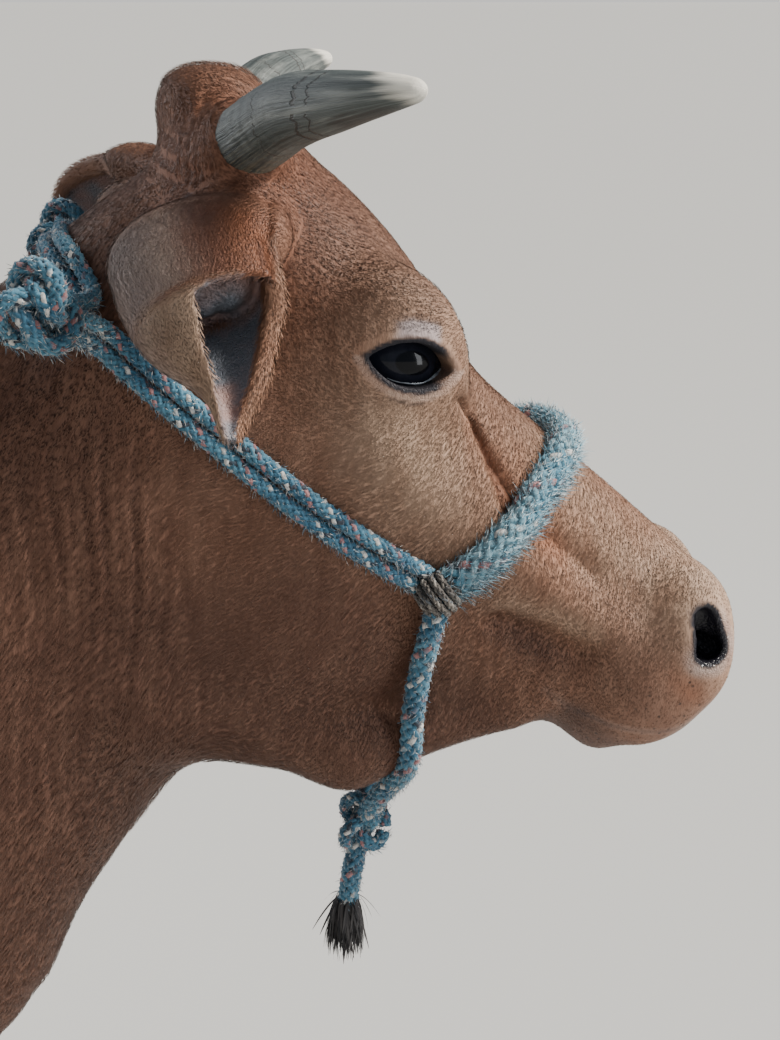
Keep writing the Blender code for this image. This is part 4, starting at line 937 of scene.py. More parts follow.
on_rim = ramp(0.0009, -0.0006, lid_far) * by_eye
# The creases above and below the lids are darkened as painted shade.
low_crease = ramp(0.0014, 0.0004, np.abs(lid_low - 0.0050)) * below_eye
high_crease = ramp(0.0014, 0.0004, np.abs(lid_up - 0.0105)) * above_eye
# The dark mark is real pigment on the lid rims, in the nostrils and on the feet, and painted shade in the lids'
# creases, along the mouth's groove and under the chin.
marks["dark"] = (
    on_rim * (1 - 0.60 * ramp(0.011, 0.019, eye_in))
    + 0.7 * low_crease * ramp(0.014, 0.006, np.abs(eye_in + 0.002))
    + 0.5 * high_crease * ramp(0.018, 0.012, np.abs(eye_in + 0.006))
    + ramp(0.0022, 0.0008, nostril)
    + (0.25 + 0.30 * ramp(0.03, 0.0, side)) * ramp(0.0020, 0.0006, mouth)
    + 0.45 * ramp(-0.104, -0.120, head_n) * ramp(0.42, 0.44, head_s)
    + 0.30 * ramp(0.20, 0.10, z) * ramp(0.06, 0.12, side))
marks["bare"] = (
    ramp(0.010, 0.003, nostril) * ramp(0.44, 0.46, head_s)
    + ramp(0.478, 0.496, head_s - 0.25 * side) * ramp(-0.105, -0.085, head_n)
    + 0.9 * ear_cup + 0.7 * udder_near
    + 0.45 * ramp(0.0050, 0.0030, lid_low) * below_eye
    + 0.15 * ramp(0.0045, 0.0020, mouth))
near_gristle = ramp(0.0060, 0.0035, np.abs(gristle_form(places.T)))
marks["inner"] = np.maximum(ear_cup, near_gristle * (1 - ear_back) * (z < 1.335))
# The deep mark is mostly painted shade: in the creases of the neck, under the jaw, in the hollow below the ridge of the
# face, in the furrow between poll and horn, on the forehead before the horn, on the lower muzzle, in the slits of the
# hanging ear and in the groove below the eye. On the neck behind the jaw it is a darker chestnut that also stands for
# the neck's shade.
marks["deep"] = (
    0.75 * ramp(0.765, 0.690, x + 0.10 * (z - 1.15)) * ramp(0.35, 0.60, x)
    + 0.9 * ramp(0.1, 1.2, -neck_lines(places.T))
    + 0.9 * ramp(0.200, 0.260, head_s - 0.35 * head_n - 0.03) * ramp(-0.125, -0.165, head_n)
    + spot((0.373, 0.056, -0.104), (0.036, 0.03, 0.013), 1.2)
    + spot((0.038, 0.045, -0.030), (0.012, 0.02, 0.040), 0.7)
    + spot((0.100, 0.06, -0.020), (0.060, 0.07, 0.050), 0.90)
    + 0.50 * muzzle * ramp(-0.045, -0.085, head_n)
    + spot((0.430, 0.055, -0.055), (0.035, 0.03, 0.030), 0.60)
    + 1.1 * ear_back * hanging * ramp(0.35, 0.85, ear_slits)
    + 0.6 * np.exp(-((line_to((0.222, 0.050, -0.024), (0.301, 0.075, -0.064)) / 0.005) ** 2)))
marks["lilac"] = (
    0.85 * ramp(0.0098, 0.0080, lid_up) * band(eye_in, -0.020, -0.013, 0.006, 0.011) * above_eye * (1 - on_rim)
    + 0.60 * ear_back * band(ear_v, 0.28, 0.50, 0.58, 0.92))
marks["dots"] = 0.75 * muzzle * ramp(0.002, 0.008, nostril) * ramp(-0.150, -0.120, head_n)
marks["wet"] = ramp(0.004, 0.001, nostril)
marks = {name: np.clip(values, 0, 1) for name, values in marks.items()}
marks["cover"] = np.clip(
    1 - 1.1 * marks["bare"] - 0.75 * muzzle * ramp(0.42, 0.48, head_s) + 0.5 * ear_rim, 0, 1)
marks["cover"] *= np.where(lid_far < 0.0036, 1 - by_eye, 1) * ramp(0.002, 0.007, nostril)
poll_fuzz = spot((0.020, 0.0, 0.0), (0.040, 0.040, 0.035))
throat = ramp(-0.26, -0.30, head_n) * ramp(0.42, 0.36, head_s) * (x > 0.70)
ridge = ramp(0.03, 0.0, side) * (x < 0.70) * ramp(1.10, 1.17, z)
marks["long"] = np.clip(
    1.0 + 0.6 * poll_fuzz + 0.25 * ear_rim + 0.5 * throat + 0.5 * ridge
    - 0.50 * ramp(0.12, 0.0, lid_far / 0.2 + 1 - by_eye) - 0.55 * muzzle
    - 0.35 * ramp(0.30, 0.14, z) + 0.9 * ramp(0.130, 0.100, z), 0.3, 3)
marks["stand"] = np.clip(0.06 + 0.16 * poll_fuzz + 0.34 * ear_rim + 0.10 * throat, 0, 1)
for name, values in marks.items():
    keep(skin.data, name, values)
    print(f"{name:6s} mean {values.mean():.3f}")

# %% [markdown]
# ## The lie of the coat
# Hair grows away from a whorl on the forehead: up towards the poll above it, down the nose below it.
# On the cheeks it runs down and back, on the neck and flanks the same, and on the legs straight down.
# One direction for each point of the skin is enough: every tuft is laid along it.

# %% Directions of the hair
ALONG_FACE, OUT_OF_FACE = np.array((HEAD_C, 0, -HEAD_S)), np.array((HEAD_S, 0, HEAD_C))
sideways = np.stack([0 * x, np.sign(y), 0 * z], axis=1)


def part(weight, direction):
    return np.asarray(weight)[:, None] * np.asarray(direction)


on_head = ramp(0.715, 0.765, x + 0.10 * (z - 1.15))
forehead = ramp(0.205, 0.150, head_s) * ramp(-0.13, -0.07, head_n)
under = ramp(-0.24, -0.285, head_n) * ramp(0.40, 0.36, head_s)
face_flow = part(forehead, -0.9 * ALONG_FACE) + part(0.35 * forehead, sideways)
face_flow += part((1 - forehead) * (1 - under), -0.85 * OUT_OF_FACE) + part((1 - forehead) * 0.30, sideways)
face_flow += part((1 - forehead) * (1 - under) * ramp(0.20, 0.34, head_s), 0.45 * ALONG_FACE)
face_flow += part((1 - forehead) * ramp(0.26, 0.18, head_s), -0.35 * ALONG_FACE) + part(under, -ALONG_FACE)
face_flow += part(1.2 * poll_fuzz, (-0.75, 0, 0.25))
leg = ramp(0.66, 0.52, z)
rump = ramp(-0.86, -1.0, x)
body_flow = part((1 - leg) * (1 - rump), (-0.85, 0, -0.55)) + part(leg, (-0.12, 0, -1)) + part(rump, (-0.1, 0, -1))
body_flow += part(ramp(0.45, 0.62, x), (0.25, 0, -0.55))
flow = part(1 - on_head, body_flow) + part(on_head, face_flow)
flow = part(1 - on_ear, flow) + part(on_ear, ear_along)
flow += 0.10 * np.stack([wander(places.T, 35, 1.0), wander(places.T, 31, 2.0), wander(places.T, 38, 3.0)], axis=1)
flow /= np.maximum(np.linalg.norm(flow, axis=1), 1e-6)[:, None]
keep(skin.data, "flow", flow)
print("directions for", len(flow), "points")

# %% [markdown]
# ## Colours of the hide
# One shader group turns the place and the marks into a colour, and both skin and coat use it. The
# skin gives it its own coordinates, and each tuft gives it the place of its root. The chestnut is
# never even: broad clouds, then finer ones, then streaks that run down as the hair does.

# %% Helpers for node trees
class Value:
    """An output of a node that takes part in sums, so that a finish reads as arithmetic."""

    def __init__(self, socket):
        self.socket, self.tree = socket, socket.id_data

    def __add__(self, other):
        return maths("ADD", self, other)

    def __sub__(self, other):
        return maths("SUBTRACT", self, other)

    def __mul__(self, other):
        return maths("MULTIPLY", self, other)

    def __truediv__(self, other):
        return maths("DIVIDE", self, other)

    def __abs__(self):
        return maths("ABSOLUTE", self)


def give(node, inputs):
    """Links each input of a node to an output, or sets it to a plain value."""
    for key, value in dict(inputs).items():
        if isinstance(value, Value):
            node.id_data.links.new(value.socket, node.inputs[key])
        else:
            is_colour = node.inputs[key].type == "RGBA"
            node.inputs[key].default_value = (*value, 1) if is_colour else value


def add(tree, kind, inputs=(), **settings):
    made = tree.nodes.new(kind)
    for key, value in settings.items():
        setattr(made, key, value)
    give(made, inputs)
    return made


def result(tree, kind, inputs=(), output=0, **settings):
    """A new node's output."""
    return Value(add(tree, kind, inputs, **settings).outputs[output])


def maths(operation, *values):
    return result(values[0].tree, "ShaderNodeMath", dict(enumerate(values)), operation=operation)


def mixed(share, first, second, kind="MIX"):
    tree = next(value.tree for value in (share, first, second) if isinstance(value, Value))
    return result(tree, "ShaderNodeMix", {0: share, 6: first, 7: second}, 2, data_type="RGBA", blend_type=kind)


def shaded(tone, value):
    """The colour made darker or lighter by a number."""
    grey = result(value.tree, "ShaderNodeCombineColor", {0: value, 1: value, 2: value})
    return mixed(1.0, tone, grey, "MULTIPLY")


def between(value, low, high):
    """0 below low, 1 above high, with a soft run between."""
    return result(value.tree, "ShaderNodeMapRange", {0: value, 1: low, 2: high}, interpolation_type="SMOOTHSTEP")


def vector(operation, *values, **named):
    inputs = {**dict(enumerate(values)), **named}
    return result(values[0].tree, "ShaderNodeVectorMath", inputs, operation=operation)


def noise(place, scale, detail=3.0, stretch=(1, 1, 1), rough=0.55):
    inputs = {"Vector": vector("MULTIPLY", place, stretch), "Scale": scale, "Detail": detail, "Roughness": rough}
    return result(place.tree, "ShaderNodeTexNoise", inputs, "Fac")


def attribute(tree, name, output="Fac"):
    return result(tree, "ShaderNodeAttribute", output=output, attribute_name=name)


def own_place(tree):
    return result(tree, "ShaderNodeTexCoord", output="Object")


def new_group(name, inputs, outputs, kind="ShaderNodeTree"):
    """A node group with its named inputs, its end, and the identifier of each input."""
    tree = bpy.data.node_groups.new(name, kind)
    keys = {}
    for key, sort in inputs.items():
        keys[key] = tree.interface.new_socket(key, in_out="INPUT", socket_type=sort).identifier
    for key, sort in outputs.items():
        tree.interface.new_socket(key, in_out="OUTPUT", socket_type=sort)
    given = {socket.name: Value(socket) for socket in tree.nodes.new("NodeGroupInput").outputs}
    return tree, given, tree.nodes.new("NodeGroupOutput"), keys


def new_material(name):
    material = bpy.data.materials.new(name)
    material.use_nodes = True
    return material, material.node_tree, material.node_tree.nodes["Principled BSDF"]


def finish(shader, tone, roughness, relief=None, **others):
    """Gives the shader its colour, roughness, relief (height, strength and depth) and what else it needs."""
    give(shader, {"Base Color": tone, "Roughness": roughness})
    give(shader, {key.replace("_", " "): value for key, value in others.items()})
    if relief:
        height, strength, depth = relief
        inputs = {"Height": height, "Strength": strength, "Distance": depth}
        give(shader, {"Normal": result(shader.id_data, "ShaderNodeBump", inputs)})


def placed(piece, slot, *nodes):
    """Fixes a finished piece to the animal, in place of the solids that it stands for."""
    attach(piece, "root")
    if nodes:
        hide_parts(*nodes)


SIDES = (("left", 1), ("right", -1))
MARKS = ("pale", "ruddy", "deep", "dark", "bare", "inner", "lilac", "dots")
NUMBER, WHOLE, COLOUR, VECTOR = "NodeSocketFloat", "NodeSocketInt", "NodeSocketColor", "NodeSocketVector"
OBJECT, MATERIAL, GEOMETRY = "NodeSocketObject", "NodeSocketMaterial", "NodeSocketGeometry"

# %% The colour of the hide
hide, given, out, _ = new_group("hide_colour", {"Place": VECTOR, **{mark: NUMBER for mark in MARKS}}, {"Color": COLOUR})
place = given["Place"]
clouds = noise(place, 5.0, 4.0)
streaks = noise(place, 60.0, 3.0, (1.6, 1.6, 0.35))
fine = noise(place, 330.0, 2.0, (1.3, 1.3, 0.4))
chestnut = mixed(between(clouds, 0.30, 0.70), (0.165, 0.076, 0.046), (0.235, 0.112, 0.068))
chestnut = mixed(between(streaks, 0.35, 0.75), chestnut, (0.29, 0.150, 0.096))
pale = mixed(between(streaks, 0.30, 0.70), (0.40, 0.262, 0.178), (0.53, 0.370, 0.262))
# The pale mark is hide colour, with a painted highlight along one ridge of the face.
tone = mixed(given["pale"], chestnut, pale)
tone = mixed(given["ruddy"] * 0.75, tone, (0.29, 0.100, 0.045))
# Painted shade in creases, hollows and under the jaw, and the neck's darker chestnut, which also stands for its shade.
tone = mixed(given["deep"] * 0.60, tone, (0.085, 0.036, 0.024))
naked = mixed(between(noise(place, 70.0), 0.35, 0.65), (0.34, 0.225, 0.185), (0.47, 0.36, 0.31))
tone = mixed(given["bare"] * 0.8, tone, naked)
cup = mixed(between(noise(place, 22.0), 0.40, 0.62), (0.180, 0.200, 0.230), (0.330, 0.210, 0.185))
tone = mixed(given["inner"], tone, cup)
tone = mixed(given["lilac"] * 0.85, tone, (0.43, 0.37, 0.38))
tone = shaded(tone, fine * 0.36 + 0.82)
flecks = result(hide, "ShaderNodeTexVoronoi", {"Vector": place, "Scale": 150.0})
speck = between(flecks, 0.20, 0.10) * between(noise(place, 9.0), 0.52, 0.66) * (given["pale"] * 0.30 + 0.04)
tone = mixed(speck, tone, (0.045, 0.022, 0.015))
tone = mixed(between(flecks, 0.20, 0.11) * given["dots"], tone, (0.040, 0.024, 0.018))
# Nearly black comes last: the dark pigment, and the painted shade of the lids' creases, the mouth's groove and under
# the chin.
give(out, {"Color": mixed(given["dark"], tone, (0.012, 0.011, 0.016))})
print("group", hide.name, "with", len(hide.nodes), "nodes")

# %% [markdown]
# The relief is a group too: pores and the grain of lying hair, deepest where the coat is, and a
# leathery net of fine cells where the hide is bare.

# %% The relief of the hide, and the skin's finish
relief, given, out, _ = new_group("hide_relief", {"Place": VECTOR, "bare": NUMBER}, {"Height": NUMBER})
place = given["Place"]
lying = noise(place, 420.0, 3.0, (1.4, 1.4, 0.28), 0.6)
cells = result(relief, "ShaderNodeTexVoronoi", {"Vector": place, "Scale": 420.0}, feature="DISTANCE_TO_EDGE")
height = result(relief, "ShaderNodeMix", {0: given["bare"], 2: lying, 3: between(cells, 0.0, 0.22)})
give(out, {"Height": noise(place, 45.0) * 1.6 + height})


def hide_tone(tree, place):
    """The hide's colour at a place, by the marks that the piece carries."""
    inputs = {"Place": place, **{mark: attribute(tree, mark) for mark in MARKS}}
    return result(tree, "ShaderNodeGroup", inputs, node_tree=hide)


skin_finish, tree, shader = new_material("skin_finish")
place, bare = own_place(tree), attribute(tree, "bare")
height = result(tree, "ShaderNodeGroup", {"Place": place, "bare": bare}, node_tree=relief)
dull = attribute(tree, "wet") * -0.30 + (bare * -0.20 + 0.72)
finish(shader, hide_tone(tree, place), dull, (height, 0.55, 0.0012), Specular_IOR_Level=0.35)
skin.data.materials.append(skin_finish)
FLESH_NODES = ("head", "neck", "torso", "foreleg_left", "foreleg_right", "hindleg_left", "hindleg_right",
               "udder", "tail", "ear_left", "ear_right")
placed(skin, "coat", *FLESH_NODES)
print("skin finished; it stands for", len(FLESH_NODES), "solids")

# %% [markdown]
# ## Eyes
# A cow's eye is a dark wet ball that fills its opening, with a wide level pupil that hardly shows.
# Its life is in the gloss, so the ball is round to a tenth of a millimetre and carries a clear coat.
# A thread of tears lies along the lower lid, and a slate-coloured fold fills the inner corner.

# %% Eyeballs
def eye_frame(side):
    """The eye's middle and its three directions (along the opening, up, outwards) in the world."""
    base = np.array(eye_axes(EYE))
    rows = [np.array(eye_axes([EYE[k] + (k == i) for k in range(3)])) - base for i in range(3)]
    axes = np.array(rows).T
    world = np.array([ALONG_FACE, (0, side, 0), OUT_OF_FACE])
    return head_point(EYE[0], side * EYE[1], EYE[2]), axes @ world


eye_finish, tree, shader = new_material("eye_finish")
across, level_up, place = attribute(tree, "gaze_across"), attribute(tree, "gaze_up"), own_place(tree)
from_middle = maths("SQRT", across * across + level_up * level_up)
wide = across / 1.55
pupil = maths("SQRT", wide * wide + level_up * level_up)
iris = mixed(noise(place, 260.0), (0.006, 0.008, 0.014), (0.018, 0.019, 0.028))
tone = mixed(between(pupil, 0.26, 0.31), (0.0025, 0.003, 0.005), iris)
tone = mixed(between(from_middle, 0.72, 0.86), tone, (0.010, 0.013, 0.022))
tone = mixed(between(from_middle, 1.12, 1.30), tone, (0.10, 0.11, 0.13))
finish(shader, tone, 0.16, (noise(place, 120.0, 2.0), 0.06, 0.0006),
       Coat_Weight=1.0, Coat_Roughness=0.02, Coat_IOR=1.22, Specular_IOR_Level=0.06)

EYE_SIZES = np.array((0.0292, 0.0234, 0.0234))  # half sizes along the opening, up and outwards
for word, one in SIDES:
    middle, axes = eye_frame(one)
    bm = bmesh.new()
    bmesh.ops.create_uvsphere(bm, u_segments=72, v_segments=48, radius=1.0)
    mesh = mesh_from(bm, "eyeball_" + word)
    gaze = points_of(mesh)
    gaze = gaze * (1 + 0.035 * ramp(0.70, 0.95, gaze[:, 2]))[:, None] * EYE_SIZES
    move_points(mesh, gaze @ axes + middle)
    mesh = outward_faces(mesh)
    for name, values in (("gaze_across", gaze[:, 0]), ("gaze_up", gaze[:, 1])):
        keep(mesh, name, values / EYE_SIZES[1] + 4.0 * (gaze[:, 2] < 0))
    placed(add_object("eyeball_" + word, mesh, eye_finish), "eye", "eye_" + word)
print("two eyeballs, half sizes", EYE_SIZES)

# %% [markdown]
# ### Tears, inner corner and lashes
# Where lid and ball meet lies a line of tears, thin outside and swelling to a slate fold in the inner
# corner. A swept tube gives both. The lashes are few, dark and stiff, on the upper lid only.

# %% Lid line, inner fold and lashes
def swept(name, line, sizes, columns=10, outward=None):
    """A closed tube along the line, with a round end at each side. Sizes may differ round the tube."""
    tangents = unit(np.gradient(line, axis=0))
    normal = np.array((0.0, 0.0, 1.0)) if abs(tangents[0][2]) < 0.9 else np.array((1.0, 0.0, 0.0))
    turns = np.linspace(0, 2 * math.pi, columns, endpoint=False)
    rings = []
    for place, tangent, size in zip(line, tangents, sizes):
        normal = normal if outward is None else outward
        normal = unit(normal - tangent * (normal @ tangent))
        ring = np.outer(np.cos(turns), np.cross(tangent, normal)) + np.outer(np.sin(turns), normal)
        rings.append(place + np.reshape(size, (-1, 1)) * ring)
    points = np.concatenate([np.array(rings).reshape(-1, 3), line[:1], line[-1:]])
    end = len(points) - 2
    index = np.arange(end).reshape(-1, columns)
    following = np.roll(index, -1, axis=1)
    faces = np.stack([index[:-1], following[:-1], following[1:], index[1:]], -1).reshape(-1, 4).tolist()
    faces += [(end, b, a) for a, b in zip(index[0], following[0])]
    faces += [(end + 1, a, b) for a, b in zip(index[-1], following[-1])]
    mesh = bpy.data.meshes.new(name)
    mesh.from_pydata(points.tolist(), [], faces)
    return outward_faces(mesh)


def joined_pieces(name, meshes, *materials):
    """Several meshes as one object."""
    bm = bmesh.new()
    for mesh in meshes:
        bm.from_mesh(mesh)
    return add_object(name, mesh_from(bm, name), *materials)


def wet_material(name, first, second, scale, roughness):
    material, tree, shader = new_material(name)
    cloud = between(noise(own_place(tree), scale), 0.35, 0.65)
    finish(shader, mixed(cloud, first, second), cloud * 0.12 + roughness, (cloud, 0.25, 0.0005),
           Coat_Weight=0.8, Coat_Roughness=0.06)
    return material


# The tears' pale blue-white colour is a painted glint of light on the wet line, over their real gloss.
tear_glint_finish = wet_material("tear_glint_finish", (0.30, 0.34, 0.38), (0.62, 0.66, 0.70), 300.0, 0.10)
fold_finish = wet_material("inner_fold_finish", (0.150, 0.175, 0.210), (0.480, 0.520, 0.560), 420.0, 0.16)
lash_finish = wet_material("lash_finish", (0.010, 0.008, 0.007), (0.030, 0.022, 0.016), 500.0, 0.45)
TEAR_FROM, TEAR_TO = -0.012, 0.0240
FOLD_LINE = ((0.0120, -0.0096, 0.0192), (0.0158, -0.0074, 0.0184), (0.0192, -0.0054, 0.0172), (0.0224, -0.0038, 0.0152))
LASHES = 46


def on_ball(inward, up, lift):
    """A place on the eyeball's front in the eye's frame, lifted off it."""
    inside = np.clip(1 - (inward / EYE_SIZES[0]) ** 2 - (up / EYE_SIZES[1]) ** 2, 0.02, 1)
    return np.stack([inward, up, EYE_SIZES[2] * np.sqrt(inside) + lift], axis=1)


draw = np.random.default_rng(11)
for word, one in SIDES:
    middle, axes = eye_frame(one)
    inward = np.linspace(TEAR_FROM, TEAR_TO, 40)
    low_arc = -LID_BELOW + LID_LOW_R - np.sqrt(LID_LOW_R**2 - (inward - LID_SHIFT) ** 2)
    line = on_ball(inward, low_arc + np.interp(inward, (TEAR_FROM, 0.0, 0.016), (0.0050, 0.0050, 0.0030)), 0.0002)
    sizes = np.interp(inward, (TEAR_FROM, -0.006, 0.010, 0.017, 0.0215, TEAR_TO),
                      (0.0002, 0.0005, 0.0009, 0.0024, 0.0022, 0.0006))
    tears = add_object("tear_line_" + word, swept("tears", line @ axes + middle, sizes), tear_glint_finish)
    line = smooth_line(FOLD_LINE, 14)
    sizes = np.interp(np.linspace(0, 1, 14), (0, 0.55, 1), (0.0010, 0.0030, 0.0016))
    inner = add_object("inner_fold_" + word, swept("fold", line @ axes + middle, sizes, 12), fold_finish)
    lashes = []
    for t in np.linspace(-0.021, 0.017, LASHES):
        t += draw.uniform(-0.0004, 0.0004)
        arc = LID_ABOVE - LID_UP_R + math.sqrt(LID_UP_R**2 - (t - LID_SHIFT) ** 2)
        start = np.array((t, arc - 0.0004, 0.0188 - 12.0 * t * t))
        size = draw.uniform(0.0045, 0.0080)
        aim = np.array((0.35 * t / 0.02 - 0.25 + draw.uniform(-0.15, 0.15), draw.uniform(-0.45, -0.15), 1.0))
        aim *= size / np.linalg.norm(aim)
        hair = np.array([start, start + 0.55 * aim + (0, -0.0004, 0), start + aim + (0, 0.0008, 0)])
        sizes = np.array((1, 0.9, 0.7, 0.45, 0.1)) * 0.00022
        lashes.append(swept("lash", smooth_line(hair, 5) @ axes + middle, sizes, 4))
    for piece in (tears, inner, joined_pieces("lashes_" + word, lashes, lash_finish)):
        placed(piece, "eye")
print("tear lines, inner folds and", LASHES, "lashes on each side")

# %% [markdown]
# ## Teats
# Teats are too slender for the body's mesh, so each is a fine tube of the same hide, creased where it
# leaves the bag as a real one is.

# %% Teats
teats = []
for one in (-1, 1):
    for teat_x in (-0.690, -0.800):
        line = np.linspace((teat_x, 0.0445 * one, 0.4920), (teat_x + 0.002, 0.0455 * one, 0.4185), 24)
        t = np.linspace(0, 1, 24)
        sizes = np.interp(t, (0, 0.5, 0.86, 0.95, 1), (0.0148, 0.0118, 0.0094, 0.0072, 0.0032))
        teats.append(swept("teat", line, sizes + 0.0002 * np.sin(t * 60), 18))
teats = joined_pieces("teats", teats, skin_finish)
for mark, value in (("pale", 0.55), ("ruddy", 0.35), ("bare", 0.85)):
    keep(teats.data, mark, np.full(len(teats.data.vertices), value))
placed(teats, "udder")
print("four teats,", len(teats.data.polygons), "faces")

# %% [markdown]
# ## Horns
# Horn is a sheath of packed fibres: rough, scaly and ringed where it has just grown, worn smooth and
# pale at the tip, split across in places. Each horn is a tube along its own curve. Its rings are real
# relief. The fibres, cracks and scales are in the finish, which reads how far along and how far round
# each point lies.

# %% Horn meshes
HORN_ROWS, HORN_COLUMNS = 150, 56
HORN_TIP = 0.972


def horn_mesh(side):
    line = smooth_line(np.array(HORN_LINE) * (1, side, 1), HORN_ROWS)
    u = np.linspace(0, 1, HORN_ROWS)[:, None]
    turns = np.linspace(0, 2 * math.pi, HORN_COLUMNS, endpoint=False)
    radius = curve_through(*np.array(HORN_SIZES).T)(u)
    rounding = np.sqrt(np.clip(1 - ((u - HORN_TIP) / (1 - HORN_TIP)) ** 2, 0.0, 1)) * 0.95 + 0.05
    radius = radius * np.where(u > HORN_TIP, rounding, 1.0)
    young = ramp(0.62, 0.10, u)
    ring = 0.00028 * young * np.sin(u * 2 * math.pi * 21 + 0.8 * np.sin(u * 37))
    rough = 0.00035 * young * np.sin(turns * 9 + 40 * u) * np.sin(u * 93 + 1.0)
    sizes = np.maximum(radius + ring + rough - 0.0003, 0.0002)
    mesh = swept("horn_sheath", line, sizes, HORN_COLUMNS, np.array((0.0, 0.0, 1.0)))
    keep(mesh, "along", np.append(u + 0 * turns, (0, 1)))
    keep(mesh, "height", np.append(0 * u + np.sin(turns), (0, 0)))
    keep(mesh, "width", np.append(0 * u + np.cos(turns) * side, (0, 0)))
    return mesh

# %% The finish of horn
horn_finish, tree, shader = new_material("horn_finish")
along, high, wide = (attribute(tree, key) for key in ("along", "height", "width"))
wrapped = result(tree, "ShaderNodeCombineXYZ", {0: along * 0.55, 1: high, 2: wide})
fibres = noise(wrapped, 9.0, 6.0, (0.7, 1.6, 1.6), 0.65)
patches = noise(wrapped, 3.2, 4.0, (2.6, 1, 1))
tone = mixed(between(fibres, 0.30, 0.70), (0.034, 0.043, 0.041), (0.105, 0.122, 0.116))
tone = mixed(between(patches, 0.45, 0.72), tone, (0.19, 0.205, 0.190))
low_side = between(patches * 0.8 + high, 0.35, -0.45)
near_root = between(along, 0.50, 0.12)
amber = low_side * near_root * between(fibres, 0.42, 0.60)
tone = mixed(amber * 0.6, tone, (0.26, 0.19, 0.105))
tone = mixed(between(patches * 0.10 + (high * 0.05 + along), 0.935, 1.02), tone, (0.84, 0.80, 0.70))
rings = maths("SINE", patches * 9.0 + along * (2 * math.pi * 24))
ring_dark = between(rings, 0.2, 0.95) * between(along, 0.66, 0.40)
tone = mixed(ring_dark * 0.22, tone, (0.030, 0.030, 0.026))
# Darker on the underside, about four fifths of the way to the tip.
underside_darker = between(fibres * 1.1 + high, 0.10, -0.30) * between(abs(along - 0.82), 0.15, 0.06)
tone = mixed(underside_darker * 0.8, tone, (0.035, 0.034, 0.032))
wiggle = noise(wrapped, 3.0, 3.0, (0.1, 1, 1)) * 0.08 + (high * -0.030 + along)
cracks = None
for at, reach in ((0.650, 0.0105), (0.705, 0.0060), (0.450, 0.0030)):
    one = between(abs(wiggle - at), reach, reach * 0.35)
    cracks = one if cracks is None else maths("MAXIMUM", cracks, one)
cracks = cracks * between(noise(wrapped, 4.0, 2.0), 0.36, 0.46)
tone = mixed(cracks * 0.85, tone, (0.030, 0.028, 0.024))
scales = result(tree, "ShaderNodeTexVoronoi", {"Vector": wrapped, "Scale": 16.0}, feature="DISTANCE_TO_EDGE")
scaly = between(scales, 0.0, 0.12) * near_root
height = cracks * -1.0 + (fibres * 1.2 + scaly * 0.35)
finish(shader, tone, fibres * 0.25 + 0.38, (height, 0.6, 0.0011))
for word, one in SIDES:
    placed(add_object("horn_sheath_" + word, horn_mesh(one), horn_finish), "horn", "horn_" + word)
print("two horns of", HORN_ROWS * HORN_COLUMNS, "points")

# %% [markdown]
# ## Hooves
# Each foot has two claws, with growth lines that run level round the wall and dirt above the sole.
# The claws are again a distance, two of them meeting at the cleft, and cut flat where they stand.

# %% Hooves
HOOF_VOXEL, HOOF_TOP, SOLE = 0.0027, 0.080, 0.0012


def hoof_form(p, hoof_x, hoof_y):
    below = HOOF_TOP - p[2]
    ahead, across = p[0] - hoof_x - 0.52 * below, np.abs(p[1] - hoof_y) - 0.0225 - 0.10 * below
    length, width = 0.038 + 0.25 * below, 0.0225 + 0.03 * below
    claw = (np.sqrt((ahead / length) ** 2 + (across / width) ** 2) - 1) * width * 0.8
    growth = 0.00035 * np.sin(2 * math.pi * (p[2] + 0.12 * (p[0] - hoof_x)) / 0.0085)
    level = p[2] - HOOF_TOP - 0.35 * (p[0] - hoof_x)
    cuts = np.maximum(np.maximum(level - 0.002, p[2] - HOOF_TOP - 0.0015), 0.0002 - p[2])
    return np.maximum(claw + 0.0004 + growth, cuts)


hoof_finish, tree, shader = new_material("hoof_finish")
place = own_place(tree)
bands = noise(place, 30.0, 3.0, (0.35, 0.35, 5.0))
grain = noise(place, 160.0, 4.0, (1, 1, 0.25))
tone = mixed(between(bands, 0.35, 0.65), (0.045, 0.040, 0.036), (0.13, 0.115, 0.095))
tone = mixed(between(grain, 0.45, 0.70) * 0.45, tone, (0.20, 0.175, 0.14))
foot = result(tree, "ShaderNodeSeparateXYZ", {0: place}, 2)
tone = mixed(between(grain * 0.03 + foot, 0.050, 0.012) * 0.7, tone, (0.17, 0.125, 0.085))
finish(shader, tone, grain * 0.3 + 0.42, (bands + grain, 0.5, 0.0010))
for word, one in SIDES:
    for end, hoof_x, hoof_y in (("fore", 0.262, 0.145 * one), ("hind", -0.902, 0.150 * one)):
        low = (hoof_x - 0.062, hoof_y - 0.066, -0.0057)
        high = (hoof_x + 0.105, hoof_y + 0.066, 0.090)
        grid = np.meshgrid(*[np.arange(a, b, HOOF_VOXEL) for a, b in zip(low, high)], indexing="ij")
        field = hoof_form(grid, hoof_x, hoof_y).astype(np.float32)
        hoof = add_object(f"claws_{end}_{word}", mesh_of("claws", field, low, HOOF_VOXEL), hoof_finish)
        corners = points_of(hoof.data)
        corners[:, 2] = np.where(corners[:, 2] < SOLE, 0.0, corners[:, 2])
        move_points(hoof.data, corners)
        hoof.data.shade_smooth()
        placed(hoof, "hoof", f"hoof_{end}_{word}")
print("eight claws on four feet")

# %% [markdown]
# ## The coat
# The hair of this animal is short and lies flat, so most of it is grain and bump. But at every edge
# against the light, and wherever light grazes it, single hairs show. So the whole skin also carries
# small real tufts: each is a thin bent kite of two faces. Geometry Nodes scatter them by how dense the
# coat is, turn each along the lie of the hair, and keep the place of its root. From that place come
# its colour and its patch on the coat's map, so a tuft always matches the hide under it.

